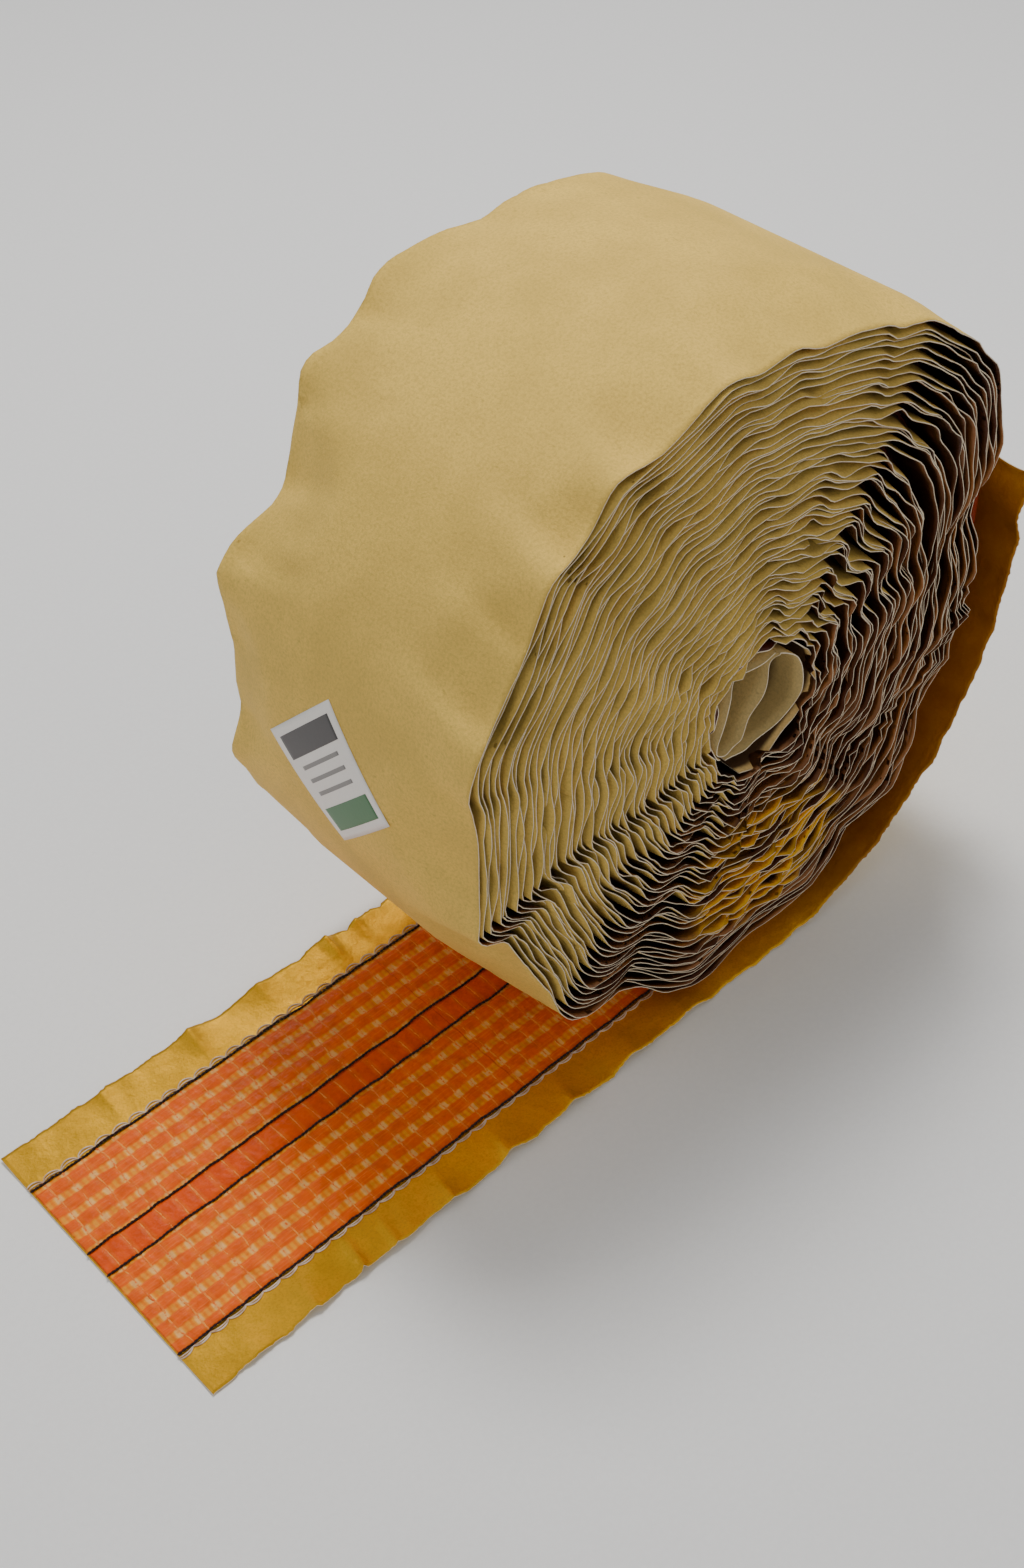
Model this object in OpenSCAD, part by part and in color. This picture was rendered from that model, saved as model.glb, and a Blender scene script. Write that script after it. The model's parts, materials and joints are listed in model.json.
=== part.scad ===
// Roll of heat-bond seaming tape, its outer wrap loosened and its free end laid flat.
// The origin is on the floor under the roll's axis, at the roll's mid-width.
// The roll's axis runs along Y, and the free end runs out towards -X, adhesive side up.

/* [Tape] */
// Width of the paper
tape_w = 100; // [80:1:120]
// Width of the adhesive band, from one edge stitch to the other
band_w = 69; // [60:1:72]
// Thickness of the crepe paper
paper_t = 0.25; // [0.2:0.05:0.3]
// Thickness of the gold release coat on the paper
facing_t = 0.1; // [0.05:0.05:0.1]
// Thickness of the adhesive that the scrim is bedded in
film_t = 0.35; // [0.3:0.05:0.4]
// Thickness of a scrim yarn
yarn_t = 0.15; // [0.1:0.05:0.2]
// Height of an adhesive bead above the film
bead_h = 0.55; // [0.4:0.05:0.6]
// Distance between two adhesive beads, and between two lengthwise yarns
bead_pitch = 6.8; // [6.5:0.1:6.8]
// Width of an adhesive bead
bead_w = 4.4; // [3:0.1:4.6]
// Distance between two crosswise yarns, which is one stitch
weft_pitch = 5.9; // [5:0.1:8]
// Width of a scrim yarn
yarn_w = 0.8; // [0.5:0.1:1]
// Thickness and width of a stitching thread
thread_w = 0.8; // [0.5:0.1:0.9]
// Where the guide thread on the far side of the centre lies
far_guide_v = 6.8; // [6:0.1:7]
// Where the guide thread on the near side of the centre lies
near_guide_v = -2.8; // [-3:0.1:-2]

/* [Wound coil] */
// Radius of the wound coil
coil_r = 109.5; // [90:0.5:120]
// Radius of the eye at its heart
eye_r = 21.5; // [18:0.5:26]
// How far the eye sits to the right of the roll's axis
eye_dx = 4; // [0:0.5:6]
// How far the eye sits below the roll's axis
eye_dz = 9; // [0:0.5:10]
// Distance from one turn to the next
turn_pitch = 1.8; // [1.75:0.05:2.2]
// Thickness of the adhesive and scrim squeezed between two turns
coil_film_t = 0.9; // [0.6:0.05:0.95]
// Where on the roll the coil's outer end lies, from the bottom towards +X
coil_start = 100; // [80:5:105]

/* [Loose wrap and free end] */
// Length of the free end from under the axis
free_len = 206; // [150:1:400]
// How far the laid strip is moved towards -Y under the axis
strip_shift = 4; // [0:0.5:6]
// Angle between the laid strip and the roll's plane
strip_skew = 2.6; // [0:0.1:4]
// Distance from the axis to the line about which the free end lifts
lift_x = 75; // [70:1:90]
// Outer radius of the loose wrap
wrap_r = 108.6; // [108.5:0.1:109]
// Where the loose wrap leaves the floor
wrap_x = 5; // [5:0.5:6]
// Angle through which the loose wrap climbs the roll
wrap_angle = 113; // [90:1:115]

/* [Leader and label] */
// Length of the leader's folded loop
fold_len = 33; // [28:0.5:34]
// Width of the leader's folded loop
fold_w = 25; // [20:0.5:27]
// Lean of the folded loop from level
fold_lean = 51; // [0:1:90]
// Width of the label
label_w = 34; // [20:1:50]
// Height of the label
label_h = 36; // [20:1:60]
// Where on the roll the label's middle lies, from the bottom towards +X
label_at = 271; // [200:1:300]
// Where along the roll's axis the label's middle lies
label_y = 2; // [-20:1:20]
// Turn of the label on the roll
label_turn = -45; // [-90:1:90]

/* [Hidden] */

kraft = [0.80, 0.67, 0.42];
gold = [0.82, 0.64, 0.24];
amber = [0.85, 0.33, 0.08];
cream = [0.93, 0.80, 0.60];
near_black = [0.16, 0.08, 0.07];

// Heights of the layers of the laid strip, from the floor up
facing_z = paper_t;
film_z = facing_z + facing_t;
weft_z = film_z + film_t;
top_z = weft_z + yarn_t;
strip_t = top_z + bead_h;

// The coil turns clear of the strip that it stands on
turning_gap = 0.5;
axis_h = coil_r + strip_t + turning_gap;

// The spiral
turn_flats = 18;
turn_step = 360 / turn_flats;
turns = floor((coil_r - eye_r) / turn_pitch);
last_flat = turns * turn_flats;
coil_facing_d = paper_t;
coil_film_d = coil_facing_d + facing_t;

// Where the threads and beads run across the strip, from the strip's middle line
edge_v = band_w / 2;
stitch_v = edge_v + thread_w / 2 + 0.1;
looper_v = stitch_v + thread_w / 2 + 0.1;
looper_reach = 1.6;
looper_w = 0.5;
first_bead = 3.4;
bead_count = 4;

function far_bead_v(i) = far_guide_v + first_bead + i * bead_pitch;
function near_bead_v(i) = near_guide_v - first_bead - i * bead_pitch;

// ---- Laid strip: bars along it are drawn in plan and raised ----

// Y of the strip's own line v where it passes x
function lane_y(v, x) = v - strip_shift + x * tan(strip_skew);

// A bar w wide about the line v, from x0 to x1
module lane(v, w, z, h, x0, x1)
    translate([0, 0, z]) linear_extrude(h)
        polygon([for (x = [x0, x1]) [x, lane_y(v - w / 2, x)], for (x = [x1, x0]) [x, lane_y(v + w / 2, x)]]);

// A bead is a low bar with a narrower crest
module bead(v, x0, x1) {
    lane(v, bead_w, top_z, bead_h * 0.6, x0, x1);
    lane(v, bead_w * 0.6, top_z + bead_h * 0.6, bead_h * 0.4, x0, x1);
}

module beads(x0, x1) {
    for (i = [0 : bead_count - 1]) {
        bead(far_bead_v(i) - (i == bead_count - 1 ? 0.4 : 0), x0, x1);
        bead(near_bead_v(i), x0, x1);
    }
    lane((far_guide_v + near_guide_v) / 2, far_guide_v - near_guide_v - 2, top_z, bead_h * 0.5, x0, x1);
}

// Crosswise yarns bedded on the film
module weft_yarns(x0, x1) {
    first = ceil((x0 + yarn_w) / weft_pitch);
    last = floor((x1 - yarn_w) / weft_pitch);
    for (i = [first : last])
        lane(0, band_w, weft_z, yarn_t, i * weft_pitch - yarn_w / 2, i * weft_pitch + yarn_w / 2);
}

// Lengthwise yarns, one in each valley between two beads and one beside the near edge stitch
module warp_yarns(x0, x1) {
    for (i = [0 : bead_count - 2]) {
        lane(far_bead_v(i) + bead_pitch / 2, yarn_w, top_z, yarn_t, x0, x1);
        lane(near_bead_v(i) - bead_pitch / 2, yarn_w, top_z, yarn_t, x0, x1);
    }
    lane(near_bead_v(bead_count - 1) - bead_pitch / 2, yarn_w, top_z, yarn_t, x0, x1);
}

module stitch(side, x0, x1)
    lane(side * stitch_v, thread_w, film_z, thread_w, x0, x1);

module guide(v, x0, x1)
    lane(v, thread_w, top_z, thread_w / 2, x0, x1);

// Looper thread: a flat ribbon of scallops beside the edge stitch, one scallop to a stitch
module looper(side, x0, x1) {
    samples = 6;
    step = weft_pitch / samples;
    count = floor((x1 - x0) / step);
    translate([0, 0, film_z]) linear_extrude(thread_w / 4)
        polygon([for (pass = [0, 1]) for (i = [0 : count])
            let (x = x0 + (pass == 0 ? i : count - i) * step,
                 reach = looper_reach * pow(abs(sin(180 * x / weft_pitch)), 0.7))
            [x, lane_y(side * (looper_v + reach + pass * looper_w), x)]]);
}

// ---- Loose wrap: layers drawn from the side and extruded across ----

// A layer of the wrap, w wide, from depth d to d + t inside its outer face
module wrap_layer(w, d, t) {
    step = 5;
    angles = concat([for (a = [0 : step : wrap_angle - step]) a], [wrap_angle]);
    count = len(angles);
    translate([wrap_x, lane_y(0, wrap_x) + w / 2, wrap_r]) rotate([90, 0, 0]) linear_extrude(w)
        polygon([for (pass = [0, 1]) for (i = [0 : count - 1])
            let (a = angles[pass == 0 ? i : count - 1 - i], r = wrap_r - d - pass * t)
            [r * sin(a), -r * cos(a)]]);
}

// ---- Wound coil: layers of one spiral, drawn from the side and extruded across ----

// A point of the spiral at its k-th corner, depth d inside the paper's outer face.
// The turns slide off-centre as they shrink, towards the eye.
function spiral(k, d) =
    let (r = coil_r - turn_pitch * k / turn_flats,
         inward = (coil_r - r) / (coil_r - eye_r),
         a = coil_start + k * turn_step)
    [(r - d) * sin(a) + inward * eye_dx, -(r - d) * cos(a) - inward * eye_dz];

// A layer w wide, from depth d to d + t
module coil_layer(w, d, t)
    translate([0, w / 2, axis_h]) rotate([90, 0, 0]) linear_extrude(w)
        polygon(concat(
            [for (k = [0 : last_flat]) spiral(k, d)],
            [for (k = [last_flat : -1 : 0]) spiral(k, d + t)]));

// ---- Leader and label ----

// Half of a pointed oval: an arc through the two tips, bulging by half the width
function oval_arc(l, w) =
    let (r = (l * l / 4 + w * w / 4) / w, half = asin(l / 2 / r))
    [for (i = [0 : 8]) let (a = half * (1 - i / 4)) [r * sin(a), r * cos(a) - (r - w / 2)]];

module pointed_oval(l, w)
    polygon([for (p = oval_arc(l, w)) p, for (p = oval_arc(l, w)) -p]);

// A sheet bent round the roll, w by h, lying at radius r
module on_roll(r, t, w, h, up)
    intersection() {
        translate([0, 0, axis_h]) rotate([90, 0, 0]) difference() {
            cylinder(r = r + t, h = tape_w, center = true, $fn = 96);
            cylinder(r = r, h = tape_w + 2, center = true, $fn = 96);
        }
        translate([0, label_y, axis_h]) rotate([0, 180 - label_at, 0]) rotate([0, 0, label_turn])
            translate([-w / 2, up, 0]) cube([w, h, coil_r + 5]);
    }

label_t = 0.15;
print_t = 0.05;
// The flats of the spiral lie a little inside its corners
flats_drop = 0.7;
label_r = coil_r - flats_drop;
band_h = label_h * 0.2;

// ---- Sub-parts ----

module coil_backing() color(kraft) coil_layer(tape_w, 0, paper_t);
module coil_facing() color(gold) coil_layer(tape_w, coil_facing_d, facing_t);
module coil_adhesive() color(amber) coil_layer(band_w, coil_film_d, coil_film_t);
module leader_fold() color(kraft)
    translate([eye_dx, tape_w / 2, axis_h - eye_dz]) rotate([90, 0, 0]) linear_extrude(tape_w)
        rotate(fold_lean) difference() {
            pointed_oval(fold_len, fold_w);
            pointed_oval(fold_len - 3 * paper_t, fold_w - 2 * paper_t);
        }

module label_sheet() color("white") on_roll(label_r, label_t, label_w, label_h, -label_h / 2);
module label_header() color([0.33, 0.31, 0.31])
    on_roll(label_r + label_t, print_t, label_w - 6, band_h, label_h / 2 - band_h - 3);
module label_lines() color([0.6, 0.58, 0.56])
    for (i = [0 : 2]) on_roll(label_r + label_t, print_t, label_w - 12, 1.2, i * 4 - 4);
module label_footer() color([0.3, 0.5, 0.33])
    on_roll(label_r + label_t, print_t, label_w - 6, band_h, 3 - label_h / 2);

module wrap_backing() color(kraft) {
    lane(0, tape_w, 0, paper_t, -lift_x, wrap_x);
    wrap_layer(tape_w, 0, paper_t);
}
module wrap_facing() color(gold) {
    lane(0, tape_w, facing_z, facing_t, -lift_x, wrap_x);
    wrap_layer(tape_w, facing_z, facing_t);
}
module wrap_adhesive() color(amber) {
    lane(0, band_w, film_z, film_t, -lift_x, wrap_x);
    wrap_layer(band_w, film_z, film_t);
}
module wrap_weft_yarns() color(cream) weft_yarns(-lift_x, wrap_x);
module wrap_warp_yarns() color(cream) warp_yarns(-lift_x, wrap_x);
module wrap_beads() color(amber) beads(-lift_x, wrap_x);
module wrap_far_edge_stitch() color(near_black) stitch(1, -lift_x, wrap_x);
module wrap_near_edge_stitch() color(near_black) stitch(-1, -lift_x, wrap_x);
module wrap_far_guide_thread() color(near_black) guide(far_guide_v, -lift_x, wrap_x);
module wrap_near_guide_thread() color(near_black) guide(near_guide_v, -lift_x, wrap_x);
module wrap_far_looper_thread() color(cream) looper(1, -lift_x, wrap_x);
module wrap_near_looper_thread() color(cream) looper(-1, -lift_x, wrap_x);

module end_backing() color(kraft) lane(0, tape_w, 0, paper_t, -free_len, -lift_x);
module end_facing() color(gold) lane(0, tape_w, facing_z, facing_t, -free_len, -lift_x);
module end_adhesive() color(amber) lane(0, band_w, film_z, film_t, -free_len, -lift_x);
module end_weft_yarns() color(cream) weft_yarns(-free_len, -lift_x);
module end_warp_yarns() color(cream) warp_yarns(-free_len, -lift_x);
module end_beads() color(amber) beads(-free_len, -lift_x);
module end_far_edge_stitch() color(near_black) stitch(1, -free_len, -lift_x);
module end_near_edge_stitch() color(near_black) stitch(-1, -free_len, -lift_x);
module end_far_guide_thread() color(near_black) guide(far_guide_v, -free_len, -lift_x);
module end_near_guide_thread() color(near_black) guide(near_guide_v, -free_len, -lift_x);
module end_far_looper_thread() color(cream) looper(1, -free_len, -lift_x);
module end_near_looper_thread() color(cream) looper(-1, -free_len, -lift_x);

coil_backing();
coil_facing();
coil_adhesive();
leader_fold();
label_sheet();
label_header();
label_lines();
label_footer();
wrap_backing();
wrap_facing();
wrap_adhesive();
wrap_weft_yarns();
wrap_warp_yarns();
wrap_beads();
wrap_far_edge_stitch();
wrap_near_edge_stitch();
wrap_far_guide_thread();
wrap_near_guide_thread();
wrap_far_looper_thread();
wrap_near_looper_thread();
end_backing();
end_facing();
end_adhesive();
end_weft_yarns();
end_warp_yarns();
end_beads();
end_far_edge_stitch();
end_near_edge_stitch();
end_far_guide_thread();
end_near_guide_thread();
end_far_looper_thread();
end_near_looper_thread();
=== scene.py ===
"""Looks of a roll of heat-bond seaming tape, with its free end laid flat and its outer wrap loosened.

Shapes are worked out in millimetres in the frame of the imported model: +Z up, the roll's axis along Y, the free
end towards -X. Every surface is a function of two parameters on a grid, and goes into its mesh in metres.
"""

import json
import logging
import math
from dataclasses import dataclass, field
from enum import Enum
from functools import cached_property
from typing import Any, Iterable, Sequence

import bpy
import numpy as np
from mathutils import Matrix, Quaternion, Vector


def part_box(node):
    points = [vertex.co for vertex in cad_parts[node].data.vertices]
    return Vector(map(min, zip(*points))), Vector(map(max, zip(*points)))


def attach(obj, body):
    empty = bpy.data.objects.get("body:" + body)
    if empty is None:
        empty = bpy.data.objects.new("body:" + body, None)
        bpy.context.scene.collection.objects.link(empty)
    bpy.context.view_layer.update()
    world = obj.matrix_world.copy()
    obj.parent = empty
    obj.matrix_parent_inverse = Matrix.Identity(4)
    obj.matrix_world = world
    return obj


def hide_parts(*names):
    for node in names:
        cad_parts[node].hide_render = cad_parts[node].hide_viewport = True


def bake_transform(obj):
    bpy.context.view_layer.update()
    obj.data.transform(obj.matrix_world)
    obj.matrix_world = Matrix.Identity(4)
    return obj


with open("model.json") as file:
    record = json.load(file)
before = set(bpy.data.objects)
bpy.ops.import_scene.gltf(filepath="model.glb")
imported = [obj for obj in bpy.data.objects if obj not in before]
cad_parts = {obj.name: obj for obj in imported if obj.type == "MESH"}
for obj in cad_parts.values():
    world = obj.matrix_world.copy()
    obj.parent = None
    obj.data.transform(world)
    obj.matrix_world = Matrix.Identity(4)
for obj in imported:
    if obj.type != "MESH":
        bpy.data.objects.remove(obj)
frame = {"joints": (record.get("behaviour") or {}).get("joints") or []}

LOG = logging.getLogger("tape_roll")
MM = 0.001
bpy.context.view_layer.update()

Colour = tuple[float, float, float]
Triple = tuple[float, float, float]


# ---------------------------------------------------------------- sizes read from the frame


def node_box(node: str) -> np.ndarray:
    """Lowest and highest corner of a CAD node, in millimetres, as a 2 by 3 array."""
    return np.array([list(corner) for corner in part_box(node)]) / MM


def joint_place(name: str) -> np.ndarray:
    """Where a joint's axis passes, in millimetres."""
    found = next(j for j in frame["joints"] if j["name"] == name)
    return np.array(found["pos_m"]) / MM


@dataclass(frozen=True)
class TapeSizes:
    """The tape's width and its band's, and the roll's main places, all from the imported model, in millimetres."""

    width: float = float(np.ptp(node_box("coil_backing")[:, 1]))
    band: float = float(np.ptp(node_box("coil_adhesive")[:, 1]))
    axis_height: float = float(joint_place("roll_turn")[2])
    lift_x: float = float(joint_place("end_lift")[0])
    end_x: float = float(node_box("end_backing")[0, 0])
    eye_x: float = float(node_box("leader_fold")[:, 0].mean())
    eye_z: float = float(node_box("leader_fold")[:, 2].mean())

    @property
    def half(self) -> float:
        """Half of the tape's width."""
        return self.width / 2

    @property
    def half_band(self) -> float:
        """Half of the adhesive band's width."""
        return self.band / 2

    @property
    def border(self) -> float:
        """Width of the bare paper beside the band."""
        return self.half - self.half_band


TAPE = TapeSizes()

# The coil: its outer radius, the eye's, the fall of the radius in a turn, and the angle where its paper starts.
# Angles round the roll go from straight down, through the side away from the free end.
COIL_RADIUS = 109.5
EYE_RADIUS = 24.5
TURN_PITCH = 1.8
COIL_START = 100.0

# The laid strip: how far it stands out of the front face and how askew it lies; then the loose wrap's radius and
# where along X it leaves the floor.
STRIP_SHIFT = 4.0
STRIP_SKEW = math.tan(math.radians(2.6))
WRAP_RADIUS = 108.6
WRAP_X = 5.0

# The adhesive band: the stitches' length, the beads' spacing, the guide threads' lanes, the first bead's distance
# from its guide thread, and the beads on each side. Yarns and threads are tubes with TUBE_SIDES sides.
STITCH = 5.9
BEAD_PITCH = 6.8
FAR_GUIDE = 6.8
NEAR_GUIDE = -2.8
FIRST_BEAD = 3.4
BEADS_EACH_SIDE = 4
TUBE_SIDES = 6

UP = np.array([0, 0, 1.0])
ALONG = np.array([1.0, 0, 0])
ACROSS = np.array([0, 1.0, 0])


# ---------------------------------------------------------------- small mathematics


def smooth(t: np.ndarray) -> np.ndarray:
    """A smooth step: 3t^2 - 2t^3 of t held between 0 and 1."""
    t = np.clip(t, 0.0, 1.0)
    return t * t * (3.0 - 2.0 * t)


def paired(a: np.ndarray, b: np.ndarray) -> np.ndarray:
    """Two coordinates broadcast to one grid and joined on a last axis."""
    return np.stack(np.broadcast_arrays(a, b), -1)


def border_share(v: np.ndarray) -> np.ndarray:
    """How far across the bare border the places v are: 0 on the band, 1 at the paper's edge."""
    return np.clip((np.abs(v) - TAPE.half_band) / TAPE.border, 0, 1)


def stitched(s: np.ndarray, power: float = 1.0) -> np.ndarray:
    """|sin|^power along the strip: 0 at each stitch, 1 halfway to the next."""
    return np.abs(np.sin(np.pi * s / STITCH)) ** power


def coil_radius(u: np.ndarray) -> np.ndarray:
    """Radius of the coil after u degrees of winding: it falls by one pitch a turn."""
    return COIL_RADIUS - TURN_PITCH * u / 360.0


def coil_point(u: np.ndarray, reach: np.ndarray, y: np.ndarray) -> np.ndarray:
    """Points after u degrees of winding, at the radius reach.

    The turns' centre moves evenly from the roll's axis, outermost, to the eye's middle, innermost.
    """
    angle = np.radians(COIL_START + u)
    inward = (COIL_RADIUS - coil_radius(u)) / (COIL_RADIUS - EYE_RADIUS)
    x = reach * np.sin(angle) + inward * TAPE.eye_x
    z = TAPE.axis_height - reach * np.cos(angle) + inward * (TAPE.eye_z - TAPE.axis_height)
    return np.stack(np.broadcast_arrays(x, y, z), -1)


@dataclass(frozen=True)
class Ripple:
    """Smooth random noise of one variable: a sum of sines whose wavelengths spread about a middle one."""

    wavelength: float
    seed: int
    count: int = 7
    spread: float = 0.55

    def __call__(self, s: np.ndarray) -> np.ndarray:
        """The noise at s.

        Args:
            s: places along the line, in the wavelength's unit.

        Returns:
            Values of about -1 to 1: the mean of sin(2 pi s / w + p) over the sines, scaled up.
        """
        rng = np.random.default_rng(self.seed)
        waves = self.wavelength * np.exp(rng.uniform(-self.spread, self.spread, self.count))
        phases = rng.uniform(0, 2 * np.pi, self.count)
        total = sum(np.sin(2 * np.pi * s / w + p) for w, p in zip(waves, phases))
        return total / math.sqrt(self.count)


@dataclass(frozen=True)
class Field:
    """Smooth random noise of two variables: a sum of sines that run in random directions."""

    wavelength: float
    seed: int
    count: int = 14

    def __call__(self, x: np.ndarray, y: np.ndarray) -> np.ndarray:
        """The noise at the points (x, y), about -1 to 1."""
        rng = np.random.default_rng(self.seed)
        total = np.zeros(np.broadcast(x, y).shape)
        for _ in range(self.count):
            turn = rng.uniform(0, 2 * np.pi)
            k = 2 * np.pi / (self.wavelength * np.exp(rng.uniform(-0.5, 0.5)))
            total = total + np.sin(k * (np.cos(turn) * x + np.sin(turn) * y) + rng.uniform(0, 6.28))
        return total / math.sqrt(self.count)


@dataclass(frozen=True)
class Weave:
    """Random noise over the angle and the turn of the coil, continuous along the spiral.

    It is a sum of sines with whole waves round the roll, up to waves, that also shift from turn to turn and come
    back after about turns of them.
    """

    seed: int
    waves: int
    turns: float
    count: int = 14

    def __call__(self, u: np.ndarray) -> np.ndarray:
        """The noise after u degrees of winding, about -1 to 1."""
        rng = np.random.default_rng(self.seed)
        whole = rng.integers(1, self.waves + 1, self.count) * rng.choice([-1, 1], self.count)
        period = self.turns * np.exp(rng.uniform(-0.4, 0.4, self.count))
        phase = rng.uniform(0, 2 * np.pi, self.count)
        angle, turn = np.radians(COIL_START + u), u / 360.0
        total = sum(np.sin(m * angle + 2 * np.pi * turn / p + f) for m, p, f in zip(whole, period, phase))
        return total / math.sqrt(self.count)


@dataclass(frozen=True)
class Outline:
    """How deep the paper's edge dips round the roll: a smooth closed curve through chosen places.

    points holds angles in degrees, in order, and dips in millimetres; a negative dip is a flare.
    """

    points: tuple[tuple[float, float], ...]

    def __call__(self, angle: np.ndarray) -> np.ndarray:
        """The dip at each angle: 0.7 of straight lines from point to point and 0.3 of a smooth cubic."""
        p = np.array(self.points)
        x = np.concatenate([p[-2:, 0] - 360.0, p[:, 0], p[:2, 0] + 360.0])
        d = np.concatenate([p[-2:, 1], p[:, 1], p[:2, 1]])
        slope = np.gradient(d, x)
        a = (np.asarray(angle) - p[0, 0]) % 360.0 + p[0, 0]
        i = np.clip(np.searchsorted(x, a, side="right") - 1, 0, len(x) - 2)
        h = x[i + 1] - x[i]
        t = (a - x[i]) / h
        start = (1 + 2 * t) * (1 - t) ** 2 * d[i] + t * (1 - t) ** 2 * h * slope[i]
        curve = start + t * t * (3 - 2 * t) * d[i + 1] + t * t * (t - 1) * h * slope[i + 1]
        return 0.3 * curve + 0.7 * (d[i] + t * (d[i + 1] - d[i]))


# ---------------------------------------------------------------- meshes from grids


def quads(rows: int, columns: int, start: int = 0, closed: bool = False) -> np.ndarray:
    """Faces of a grid of vertices numbered row by row.

    Args:
        rows: number of rows.
        columns: number of columns.
        start: number of the grid's first vertex.
        closed: whether the last column joins the first.

    Returns:
        An array of four vertex numbers a face.
    """
    r = np.arange(rows - 1)[:, None]
    c = np.arange(columns if closed else columns - 1)[None, :]
    d = (c + 1) % columns
    corners = (r * columns + c, r * columns + d, (r + 1) * columns + d, (r + 1) * columns + c)
    return start + np.stack(np.broadcast_arrays(*corners), -1).reshape(-1, 4)


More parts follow.
